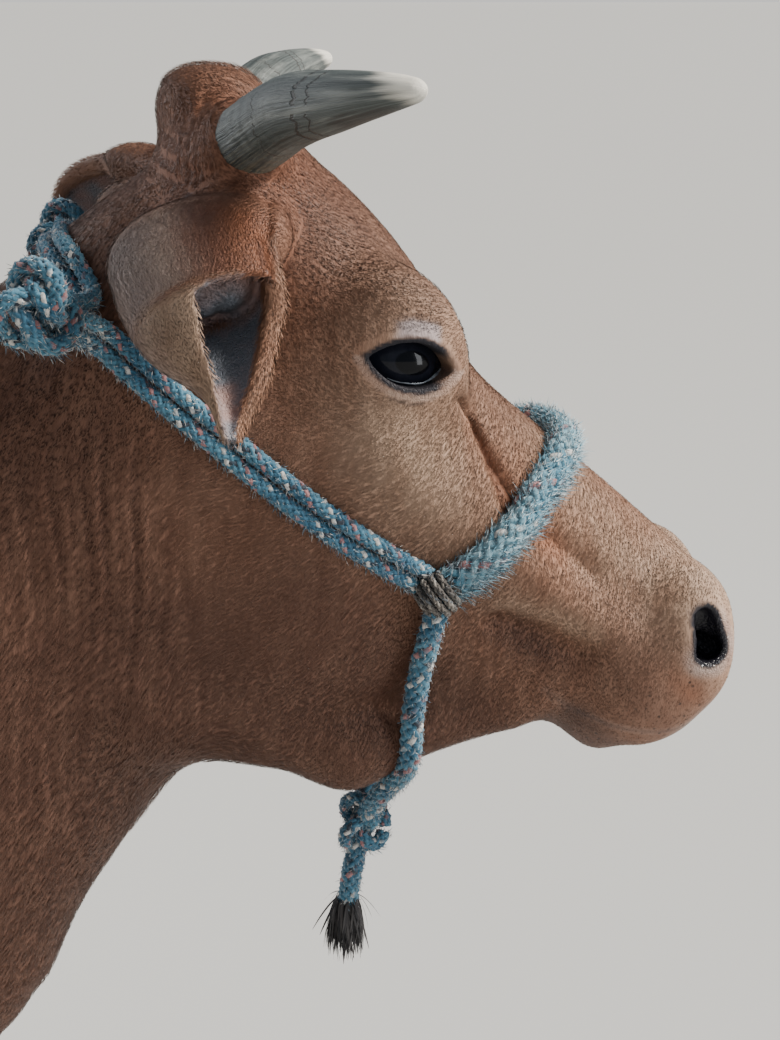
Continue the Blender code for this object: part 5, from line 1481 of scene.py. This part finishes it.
# %% One tuft, and the tree that lays it
def tuft_mesh(name, stations):
    """A flat tapering tuft one unit long: (along, half width, height) at each station, ending in a point."""
    points, tips, edges = [], [], []
    for a, half, rise in stations:
        for way in ((1, -1) if half else (0,)):
            points.append((a, way * half, rise))
            tips.append(a)
            edges.append(float(way))
    first = 0 if stations[0][1] else 1
    faces = [(0, 2, 1)] * first
    while first + 3 < len(points):
        faces.append((first + 1, first, first + 2, first + 3))
        first += 2
    faces.append((first + 1, first, first + 2))
    mesh = bpy.data.meshes.new(name)
    mesh.from_pydata(points, [], faces)
    keep(mesh, "tip", tips)
    keep(mesh, "edge", edges)
    mesh.update()
    if mesh.polygons[0].normal.z < 0:
        mesh.flip_normals()
    mesh.shade_smooth()
    return bpy.data.objects.new(name, mesh)


LAY_INPUTS = {"Geometry": GEOMETRY, "Tuft": OBJECT, "Per square metre": NUMBER, "Length": NUMBER, "Width": NUMBER,
              "Stray": NUMBER, "Seed": WHOLE, "Finish": MATERIAL}
lay, given, out, lay_keys = new_group("lay_tufts", LAY_INPUTS, {"Geometry": GEOMETRY}, "GeometryNodeTree")


def kept(name, kind="FLOAT"):
    return result(lay, "GeometryNodeInputNamedAttribute", {"Name": name}, "Attribute", data_type=kind)


def chance(low, high, seed):
    return result(lay, "FunctionNodeRandomValue", {2: low, 3: high, 8: seed}, 1, data_type="FLOAT")


def noted(shape, name, value, kind="FLOAT_VECTOR"):
    """The shape with a value kept for each of its points."""
    inputs = {"Geometry": shape, "Name": name, "Value": value}
    return result(shape.tree, "GeometryNodeStoreNamedAttribute", inputs, data_type=kind, domain="POINT")


def finished(shape, given, out):
    """Real faces in place of instances, with the finish on them: the end of each tree."""
    solid = result(shape.tree, "GeometryNodeRealizeInstances", {0: shape})
    give(out, {0: result(shape.tree, "GeometryNodeSetMaterial", {"Geometry": solid, "Material": given["Finish"]})})


scatter = add(lay, "GeometryNodeDistributePointsOnFaces", {
    "Mesh": given["Geometry"], "Density": given["Per square metre"] * kept("cover"), "Seed": given["Seed"]})
hide_normal = Value(scatter.outputs["Normal"])
rooted = noted(Value(scatter.outputs["Points"]), "root", result(lay, "GeometryNodeInputPosition"))
rooted = noted(rooted, "hide_normal", hide_normal)
lie = result(lay, "FunctionNodeAxesToRotation", {0: hide_normal, 1: kept("flow", "FLOAT_VECTOR")},
             primary_axis="Z", secondary_axis="X")
lift = (kept("stand") + given["Stray"] * chance(-0.3, 0.5, 1)) * -1.0
sway = given["Stray"] * chance(-1.0, 1.0, 2)
turn = result(lay, "ShaderNodeCombineXYZ", {0: chance(-0.35, 0.35, 3), 1: lift, 2: sway})
turn = result(lay, "FunctionNodeEulerToRotation", {0: turn})
turned = result(lay, "FunctionNodeRotateRotation", {0: lie, 1: turn}, rotation_space="LOCAL")
size = given["Length"] * kept("long") * chance(0.65, 1.25, 4)
sizes = result(lay, "ShaderNodeCombineXYZ", {0: size, 1: given["Width"] * chance(0.7, 1.3, 5), 2: size})
tuft = result(lay, "GeometryNodeObjectInfo", {"Object": given["Tuft"]}, "Geometry")
laid_out = result(lay, "GeometryNodeInstanceOnPoints", {
    "Points": rooted, "Instance": tuft, "Rotation": turned, "Scale": sizes})
finished(laid_out, given, out)
short_tuft = tuft_mesh("short_tuft", ((0.0, 0.0, 0.0), (0.42, 0.5, 0.085), (1.0, 0.0, 0.04)))
print("tree", lay.name, "with", len(lay.nodes), "nodes; a tuft has", len(short_tuft.data.polygons), "faces")

# %% Colour of the tufts
SOFTEN, LIGHTER = 3.5, 0.78  # how much the hide's own direction counts, and the darkest share of its colour
coat_finish, tree, shader = new_material("coat_finish")
root = attribute(tree, "root", "Vector")
strand = noise(root, 900.0, 0.0)
bright = attribute(tree, "tip") * 0.18 + (strand * 0.26 + LIGHTER)
finish(shader, shaded(hide_tone(tree, root), bright), strand * 0.2 + 0.50, Specular_IOR_Level=0.30)
softer = vector("SCALE", attribute(tree, "hide_normal", "Vector"), Scale=SOFTEN)
summed = vector("ADD", softer, result(tree, "ShaderNodeNewGeometry", output="Normal"))
give(shader, {"Normal": vector("NORMALIZE", summed)})
print("one finish for all the coat")

# %% [markdown]
# The coat is laid region by region, so that no piece grows too large. Each region is unrolled about
# its own axis, as a barrel is: how far along gives one coordinate of the map and how far round the
# other. Every tuft takes a patch three thousandths wide where its root lies.

# %% Lay a region's coat
PATCH = 0.003


def region_of(source, chosen, name):
    """A copy of the skin with only the chosen faces."""
    bm = bmesh.new()
    bm.from_mesh(source)
    bm.faces.ensure_lookup_table()
    bmesh.ops.delete(bm, geom=[bm.faces[i] for i in np.nonzero(~chosen)[0]], context="FACES")
    return mesh_from(bm, name)


def values_of(mesh, name, width=1):
    data = np.empty(len(mesh.attributes[name].data) * width, np.float32)
    mesh.attributes[name].data.foreach_get("vector" if width == 3 else "value", data)
    return data.reshape(-1, 3) if width == 3 else data


def give_map(mesh, start, direction):
    """The map OFBake: each tuft a small patch at its root's place on the region unrolled about an axis."""
    direction = unit(np.array(direction, float))
    across = unit(np.cross(direction, (0.0, 1.0, 0.0)))
    offset = values_of(mesh, "root", 3).astype(float) - np.array(start)
    round_it = np.arctan2(offset @ np.cross(direction, across), offset @ across)
    spread = []
    for values in (round_it, offset @ direction):
        low, high = values.min(), values.max()
        spread.append(0.01 + 0.98 * (values - low) / max(high - low, 1e-6))
    if "inner" in mesh.attributes:
        inner = values_of(mesh, "inner") > 0.5
        spread[0] = np.where(inner, 0.5 + spread[0] / 2, spread[0] / 2) if inner.any() else spread[0]
    u = spread[0] + values_of(mesh, "edge") * PATCH / 2
    v = spread[1] + (values_of(mesh, "tip") - 0.5) * PATCH
    corner = np.empty(len(mesh.loops), np.int32)
    mesh.loops.foreach_get("vertex_index", corner)
    layer = mesh.uv_layers.new(name="OFBake")
    layer.data.foreach_set("uv", np.stack([u, v], 1)[corner].astype(np.float32).ravel())


def grown(piece, tree, keys, values):
    """Runs a tree on the piece with these inputs, and keeps what it made as a plain mesh."""
    step = piece.modifiers.new("grown", "NODES")
    step.node_group = tree
    for key, value in values.items():
        step[keys[key]] = value
    made_plain(piece)


def report(piece):
    print(f"{piece.name:24s} {sum(len(p.vertices) - 2 for p in piece.data.polygons):7d} triangles")


def lay_coat(name, source, tuft, per_area, length, width, stray, seed, finish, axis, slot):
    """Tufts over the source mesh, as one plain piece that rides on the animal."""
    piece = add_object(name, source)
    grown(piece, lay, lay_keys, {"Tuft": tuft, "Per square metre": float(per_area), "Length": length, "Width": width,
                                 "Stray": stray, "Seed": seed, "Finish": finish})
    give_map(piece.data, *axis)
    for extra in ("cover", "long", "stand", "flow", "wet", "away", "strand", "run"):
        if extra in piece.data.attributes:
            piece.data.attributes.remove(piece.data.attributes[extra])
    placed(piece, slot)
    report(piece)
    return piece

# %% Regions of the skin
corners = np.array([face.center[:] for face in skin.data.polygons])
at_ear = on_ear[[face.vertices[0] for face in skin.data.polygons]] > 0.5
fx, fy, fz = corners.T
at_head = (fx + 0.10 * (fz - 1.15) > 0.735) & ~at_ear
at_neck = (fx > 0.42) & ~at_head & ~at_ear
at_leg = (fz < 0.60) & (np.abs(fy) > 0.05) & ((fx > 0.05) | (fx < -0.80)) & (fx < 0.40)
at_tail = (fx < -1.055) & (np.abs(fy) < 0.04)
rest = ~(at_ear | at_head | at_neck | at_leg | at_tail)
density = 1.0
# Tufts for a square metre, their length, width and stray.
EAR_HAIR, FACE_HAIR = (1.1e6, 0.0048, 0.00042, 0.30), (6.2e5, 0.0050, 0.00042, 0.20)
NECK_HAIR, BODY_HAIR = (3.1e5, 0.0070, 0.00055, 0.20), (7.4e4, 0.0150, 0.00120, 0.22)
LEG_HAIR, TAIL_HAIR = (1.3e5, 0.0100, 0.00085, 0.20), (2.5e5, 0.0160, 0.00090, 0.25)
ALONG, UP = (1, 0, 0), (0, 0, 1)
REGIONS = []
for word, one in SIDES:
    here = fy * one >= 0
    REGIONS += [
        ("ear_" + word, at_ear & here, EAR_HAIR, ((0.75, one * 0.066, 1.32), (0.0, one * 0.13, -0.06)), "ear"),
        ("face_" + word, at_head & here, FACE_HAIR, ((0.85, 0.0, 1.25), ALONG_FACE), "face"),
        ("neck_" + word, at_neck & here, NECK_HAIR, ((0.55, 0.0, 1.02), (1, 0, 0.45)), "coat"),
        ("side_" + word, rest & here & (fx > -0.35), BODY_HAIR, ((0.0, 0.0, 0.86), ALONG), "coat"),
        ("rump_" + word, rest & here & (fx <= -0.35), BODY_HAIR, ((0.0, 0.0, 0.90), ALONG), "coat"),
        ("foreleg_" + word, at_leg & here & (fx > 0), LEG_HAIR, ((0.235, one * 0.15, 0.4), UP), "coat"),
        ("hindleg_" + word, at_leg & here & (fx < 0), LEG_HAIR, ((-0.94, one * 0.155, 0.4), UP), "coat"),
    ]
REGIONS.append(("tail", at_tail, TAIL_HAIR, ((-1.085, 0, 0.8), UP), "coat"))
for seed, (name, chosen, (per_area, *sizes), axis, slot) in enumerate(REGIONS):
    source = region_of(skin.data, chosen, name)
    lay_coat("coat_" + name, source, short_tuft, per_area * density, *sizes, seed, coat_finish, axis, slot)

# %% [markdown]
# ## The switch of the tail
# The tail ends in a brush of long dark hair that hangs together in locks. A lock is a longer and
# stiffer tuft, bent twice, so the same tree lays it: first some broad locks, then finer ones over them.

# %% Tail switch
def hair_source(name, start, end, radius, stand):
    """A short tube whose surface carries long hair that hangs down."""
    mesh = swept(name, np.linspace(start, end, 20), np.full(20, radius), 14)
    count = len(mesh.vertices)
    side_only = np.ones(count)
    side_only[:14] = side_only[-16:] = 0
    for key, values in (("cover", side_only), ("long", np.ones(count)), ("stand", np.full(count, stand))):
        keep(mesh, key, values)
    keep(mesh, "flow", np.tile((0.0, 0.0, -1.0), (count, 1)))
    return mesh


switch_finish, tree, shader = new_material("switch_finish")
strand = noise(attribute(tree, "root", "Vector"), 600.0, 0.0)
tone = mixed(between(strand, 0.3, 0.7), (0.020, 0.012, 0.008), (0.090, 0.048, 0.028))
tone = mixed(attribute(tree, "tip") * 0.5, tone, (0.12, 0.072, 0.045))
finish(shader, tone, strand * 0.2 + 0.42)
long_lock = tuft_mesh("long_lock", (
    (0.0, 0.5, 0.0), (0.14, 0.9, 0.030), (0.30, 1.0, 0.050), (0.46, 0.95, 0.052), (0.62, 0.8, 0.045),
    (0.76, 0.62, 0.030), (0.88, 0.40, 0.012), (0.96, 0.2, 0.0), (1.0, 0.0, -0.004)))
TAIL_TIP, TAIL_END = (-1.082, 0, 0.590), (-1.081, 0, 0.500)
# Radius of the source, how the hair stands, its number, length, width and stray, and the seed.
SWITCH_LAYERS = (("switch_locks", 0.0115, 0.02, (22000, 0.20, 0.0045, 0.035), 31),
                 ("switch_hair", 0.0120, 0.03, (120000, 0.205, 0.0012, 0.06), 32))
for name, radius, stand, hair, seed in SWITCH_LAYERS:
    source = hair_source("switch", TAIL_TIP, TAIL_END, radius, stand)
    piece = lay_coat(name, source, long_lock, *hair, seed, switch_finish, ((-1.081, 0, 0.5), UP), "switch")
    corners = points_of(piece.data)
    corners[:, 0] = np.maximum(corners[:, 0], cad_box[0][0] + 0.001)
    move_points(piece.data, corners)
    if name == "switch_locks":
        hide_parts("tail_switch")

# %% [markdown]
# ## The halter
# The halter is braided cord: several strands wind each way and pass over and under each other. The
# path is worked out as for the solids, as a taut line laid on the flesh. Geometry Nodes then carry
# the strands along it. Each strand goes round at a steady rate while its distance from the middle
# rises and falls, which is all that a braid is. One strand is paler and one darker, and the pattern
# of flecks follows by itself.

# %% The braid
BRAID_INPUTS = {"Geometry": GEOMETRY, "Radius": NUMBER, "Strand radius": NUMBER, "Turns per metre": NUMBER,
                "Strands each way": WHOLE, "Step": NUMBER, "Finish": MATERIAL}
braid, given, out, braid_keys = new_group("braid_cord", BRAID_INPUTS, {"Geometry": GEOMETRY}, "GeometryNodeTree")
each_way, strand_radius = given["Strands each way"], given["Strand radius"]
path = result(braid, "GeometryNodeMeshToCurve", {0: given["Geometry"]})
even = result(braid, "GeometryNodeResampleCurve", {"Curve": path, "Length": given["Step"]}, mode="LENGTH")
copies = add(braid, "GeometryNodeDuplicateElements", {"Geometry": even, "Amount": each_way * 2.0}, domain="SPLINE")
number = Value(copies.outputs["Duplicate Index"])
run = result(braid, "GeometryNodeSplineParameter", output="Length")
way = maths("GREATER_THAN", number, each_way - 0.5) * -2.0 + 1.0
wound = run * given["Turns per metre"] * (2 * math.pi)
angle = wound * way + number / each_way * (2 * math.pi)
over = maths("COSINE", wound * each_way) * way
radius = over * strand_radius * 0.5 + (strand_radius * -1.5 + given["Radius"])
normal, tangent = result(braid, "GeometryNodeInputNormal"), result(braid, "GeometryNodeInputTangent")
out_of_middle = vector("SCALE", normal, Scale=radius * maths("COSINE", angle))
round_middle = vector("SCALE", vector("CROSS_PRODUCT", tangent, normal), Scale=radius * maths("SINE", angle))
offset = vector("ADD", out_of_middle, round_middle)
shape = noted(noted(Value(copies.outputs[0]), "strand", number, "FLOAT"), "run", run, "FLOAT")
shape = noted(noted(shape, "flow", tangent), "away", offset)
moved = result(braid, "GeometryNodeSetPosition", {"Geometry": shape, "Offset": offset})
ring = result(braid, "GeometryNodeCurvePrimitiveCircle", {"Resolution": 4, "Radius": strand_radius})
tube = result(braid, "GeometryNodeCurveToMesh", {"Curve": moved, "Profile Curve": ring, "Fill Caps": True})
finished(result(braid, "GeometryNodeSetShadeSmooth", {"Geometry": tube}), given, out)
print("tree", braid.name, "with", len(braid.nodes), "nodes")

# %% The finishes of cord and fuzz
TWIST = 0.0016  # metres for one turn of the yarn


def cord_material(name, first, second, pale_tone, odd_tone, dark_tone):
    material, tree, shader = new_material(name)
    strand, place = attribute(tree, "strand"), own_place(tree)
    fibres = noise(place, 900.0, 3.0, (1, 1, 0.5))
    tone = mixed(between(noise(place, 45.0, 4.0), 0.36, 0.64), first, second)
    worn = between(noise(place, 70.0, 2.0), 0.34, 0.50)
    for index, colour in ((1.0, pale_tone), (4.0, odd_tone), (7.0, dark_tone)):
        tone = mixed(between(abs(strand - index), 0.5, 0.3) * worn, tone, colour)
    twist = maths("SINE", attribute(tree, "run") * (2 * math.pi / TWIST))
    finish(shader, shaded(tone, fibres * 0.7 + 0.62), fibres * 0.15 + 0.75, (twist * 0.25 + fibres, 0.7, 0.0005),
           Sheen_Weight=0.35, Sheen_Roughness=0.5)
    return material


def fuzz_material(name, first, second):
    material, tree, shader = new_material(name)
    strand = noise(attribute(tree, "root", "Vector"), 700.0, 0.0)
    finish(shader, mixed(between(strand, 0.38, 0.60), first, second), strand * 0.1 + 0.7)
    return material


PALE_YARN, ROSE_YARN = (0.62, 0.60, 0.56), (0.36, 0.17, 0.17)
cord_finish = cord_material("cord_finish", (0.022, 0.110, 0.185), (0.072, 0.215, 0.305),
                            PALE_YARN, ROSE_YARN, (0.022, 0.032, 0.050))
band_finish = cord_material("band_finish", (0.070, 0.230, 0.325), (0.230, 0.400, 0.470),
                            PALE_YARN, ROSE_YARN, (0.07, 0.10, 0.12))
wrap_finish = cord_material("wrap_finish", (0.080, 0.070, 0.062), (0.170, 0.145, 0.120),
                            (0.30, 0.27, 0.23), (0.12, 0.13, 0.14), (0.03, 0.03, 0.03))
cord_fuzz = fuzz_material("fuzz_finish", (0.07, 0.19, 0.28), (0.50, 0.50, 0.49))
band_fuzz = fuzz_material("band_fuzz_finish", (0.12, 0.30, 0.40), (0.46, 0.56, 0.60))
frayed_finish = fuzz_material("frayed_finish", (0.010, 0.010, 0.012), (0.060, 0.055, 0.055))
dark_fuzz = fuzz_material("dark_fuzz_finish", (0.012, 0.012, 0.014), (0.07, 0.06, 0.055))
print("cord, band, wrap and frayed finishes")

# %% [markdown]
# ### Paths of the cords
# Each path is a taut line pushed out of the flesh until it lies on it. The cheek and crown cords are
# double, side by side. A knot is a cord wound through itself, so its path is a trefoil, squeezed to
# the knot's size; the knot on the cheek is bound with thinner twine, round and round.

# %% Laying a cord
def slope_of(points):
    step, places, values = 0.001, points.T, []
    for axis in range(3):
        for way in (step, -step):
            moved = places.copy()
            moved[axis] += way
            values.append(flesh(moved))
    grade = np.stack([values[2 * k] - values[2 * k + 1] for k in range(3)], axis=1) / (2 * step)
    return flesh(places), grade


def laid(points, lift, count, pull=0.0, taut=0.4):
    """A taut line through the points that never comes nearer the flesh than lift, and its outward directions."""
    line = smooth_line(points, count)
    for turn in range(12):
        distance, grade = slope_of(line)
        size = np.maximum(np.linalg.norm(grade, axis=1), 0.3)
        short = (lift - distance) / size
        line += (grade / size[:, None]) * np.where(short > -pull, short, 0.0)[:, None]
        if turn < 9:
            line[1:-1] += taut * ((line[:-2] + line[2:]) / 2 - line[1:-1])
    _, grade = slope_of(line)
    return line, grade / np.maximum(np.linalg.norm(grade, axis=1), 0.1)[:, None]


def double(line, outward):
    """Two strands side by side on the skin."""
    sideways_on = unit(np.cross(np.gradient(line, axis=0), outward))
    return [line + by * sideways_on for by in (-STRAND * 0.95, STRAND * 0.95)]


def cord(name, lines, kind, finish, nodes, fuzz, fuzz_length=0.0070, fuzz_cover=2.2e5):
    """Braided cord along each line, its fuzz, and the solids that they replace."""
    radius, strand, turns, each_way = kind
    points, edges = [], []
    for line in lines:
        start = len(points)
        points += smooth_line(line, max(8, int(len(line) * 4))).tolist()
        edges += [(i, i + 1) for i in range(start, len(points) - 1)]
    mesh = bpy.data.meshes.new(name)
    mesh.from_pydata(points, edges, [])
    piece = add_object(name, mesh)
    grown(piece, braid, braid_keys, {"Radius": radius, "Strand radius": strand, "Turns per metre": float(turns),
                                     "Strands each way": each_way, "Step": 0.0018, "Finish": finish})
    placed(piece, "rope", *nodes)
    report(piece)
    source = piece.data.copy()
    below = np.clip(-values_of(source, "away", 3)[:, 2] / radius, 0, 1)
    for key, values in (("cover", 0.3 + below), ("long", 0.55 + 1.1 * below**2), ("stand", 0.24 + 0.40 * below)):
        keep(source, key, values)
    source.materials.clear()
    lay_coat(name + "_fuzz", source, short_tuft, fuzz_cover * density, fuzz_length, 0.00050, 1.1, len(name), fuzz,
             (points[0], (0, 0.2, 1)), "rope")


def tilted(shape, turn, size, centre):
    """The shape turned in its upright plane, brought to its half size and put in place."""
    c, s = math.cos(turn), math.sin(turn)
    return shape @ np.array(((c, 0, -s), (0, 1, 0), (s, 0, c))) * np.array(size) + np.array(centre)


def trefoil(centre, size, turn):
    """A cord wound through itself, squeezed into a knot."""
    t = np.linspace(0, 2 * math.pi * 0.985, 70)
    wide = 0.62 + 0.38 * np.cos(3 * t)
    shape = np.stack([wide * np.cos(2 * t), 0.55 * np.sin(3 * t), wide * np.sin(2 * t)], axis=1)
    return tilted(shape, turn, size, centre)


def binding(centre, size, turns, tilt):
    """Twine bound round and round a ball."""
    t = np.linspace(0, 1, 26 * turns)
    polar, around = math.pi * (0.12 + 0.76 * t), 2 * math.pi * turns * t
    shape = np.stack([np.cos(polar), np.sin(polar) * np.cos(around), np.sin(polar) * np.sin(around)], axis=1)
    return tilted(shape, -tilt, size, centre)

# %% The cords and knots
STRAND, BAND, CHIN_ROPE = 0.0055, 0.0105, 0.0080
# Radius, radius of one strand, turns for a metre and strands each way.
THIN, THICK = (STRAND, 0.00165, 30, 6), (CHIN_ROPE, 0.0023, 21, 6)
WIDE, TWINE = (BAND, 0.0026, 16, 7), (0.0026, 0.0009, 60, 4)
CHEEK_KNOT, NECK_KNOT, CHIN_KNOT = (0.885, 0.092, 1.105), (0.672, 0.118, 1.283), (0.850, -0.010, 0.910)
CHEEK_PATH = ((0.682, 0.110, 1.276), (0.716, 0.1, 1.246), (0.767, 0.1, 1.200), (0.822, 0.095, 1.152), (0.878, 0.092, 1.111))


def both_sides(half, middle):
    """A path over the animal's middle, from one half of it."""
    return [(a, -b, c) for a, b, c in half] + [middle] + list(half[::-1])


for word, one in SIDES:
    strands = double(*laid([(a, one * b, c) for a, b, c in CHEEK_PATH], STRAND * 0.9, 15, 0.03))
    cord("cheek_cords_" + word, strands, THIN, cord_finish, ["cheek_rope_" + word], cord_fuzz)
    line, _ = laid([(0.885, one * 0.094, 1.100), (0.868, one * 0.055, 1.000), CHIN_KNOT], CHIN_ROPE * 0.95, 12)
    cord("chin_cord_" + word, [line], THICK, cord_finish, ["chin_rope_" + word], cord_fuzz)
    place = (NECK_KNOT[0], one * NECK_KNOT[1], NECK_KNOT[2])
    knot = [trefoil(place, (0.0200, 0.0150, 0.0225), 0.6), binding(place, (0.0115, 0.0105, 0.0135), 2, 0.9)]
    cord("nape_knot_" + word, knot, THIN, cord_finish, ["neck_knot_" + word], cord_fuzz)
    place = (CHEEK_KNOT[0], one * CHEEK_KNOT[1], CHEEK_KNOT[2])
    knot = [binding(place, (0.0125, 0.0112, 0.0122), 6, 0.7)]
    cord("cheek_binding_" + word, knot, TWINE, wrap_finish, ["cheek_knot_" + word], dark_fuzz, 0.003)
path = both_sides([(0.889, 0.092, 1.108), (0.925, 0.072, 1.140), (0.962, 0.040, 1.166)], (0.979, 0, 1.174))
line, _ = laid(path, BAND * 0.92, 21, 0.03, 0.02)
cord("nose_cord", [line], WIDE, band_finish, ["nose_band"], band_fuzz, 0.0135, 5.6e5)
path = both_sides([(0.672, 0.112, 1.290), (0.668, 0.060, 1.312)], (0.662, 0, 1.315))
strands = double(*laid(path, STRAND * 0.9, 15, 0.04))
cord("crown_cords", strands, THIN, cord_finish, ["crown_rope"], cord_fuzz)
knot = [trefoil(CHIN_KNOT, (0.0150, 0.0165, 0.0195), 0.2)]
cord("chin_knot_cord", knot, THIN, cord_finish, ["chin_knot"], cord_fuzz)
END = (CHIN_KNOT, (0.843, -0.006, 0.870), (0.839, -0.002, 0.835))
cord("cord_end", [smooth_line(END, 8)], THICK, cord_finish, ["rope_end"], cord_fuzz)
source = hair_source("frayed", (0.8395, -0.003, 0.850), (0.839, -0.002, 0.832), 0.0072, 0.10)
lay_coat("frayed_end", source, long_lock, 9.0e5, 0.028, 0.0007, 0.24, 41, frayed_finish,
         ((0.839, -0.002, 0.84), (0, 0.1, 1)), "rope")
print("halter done")
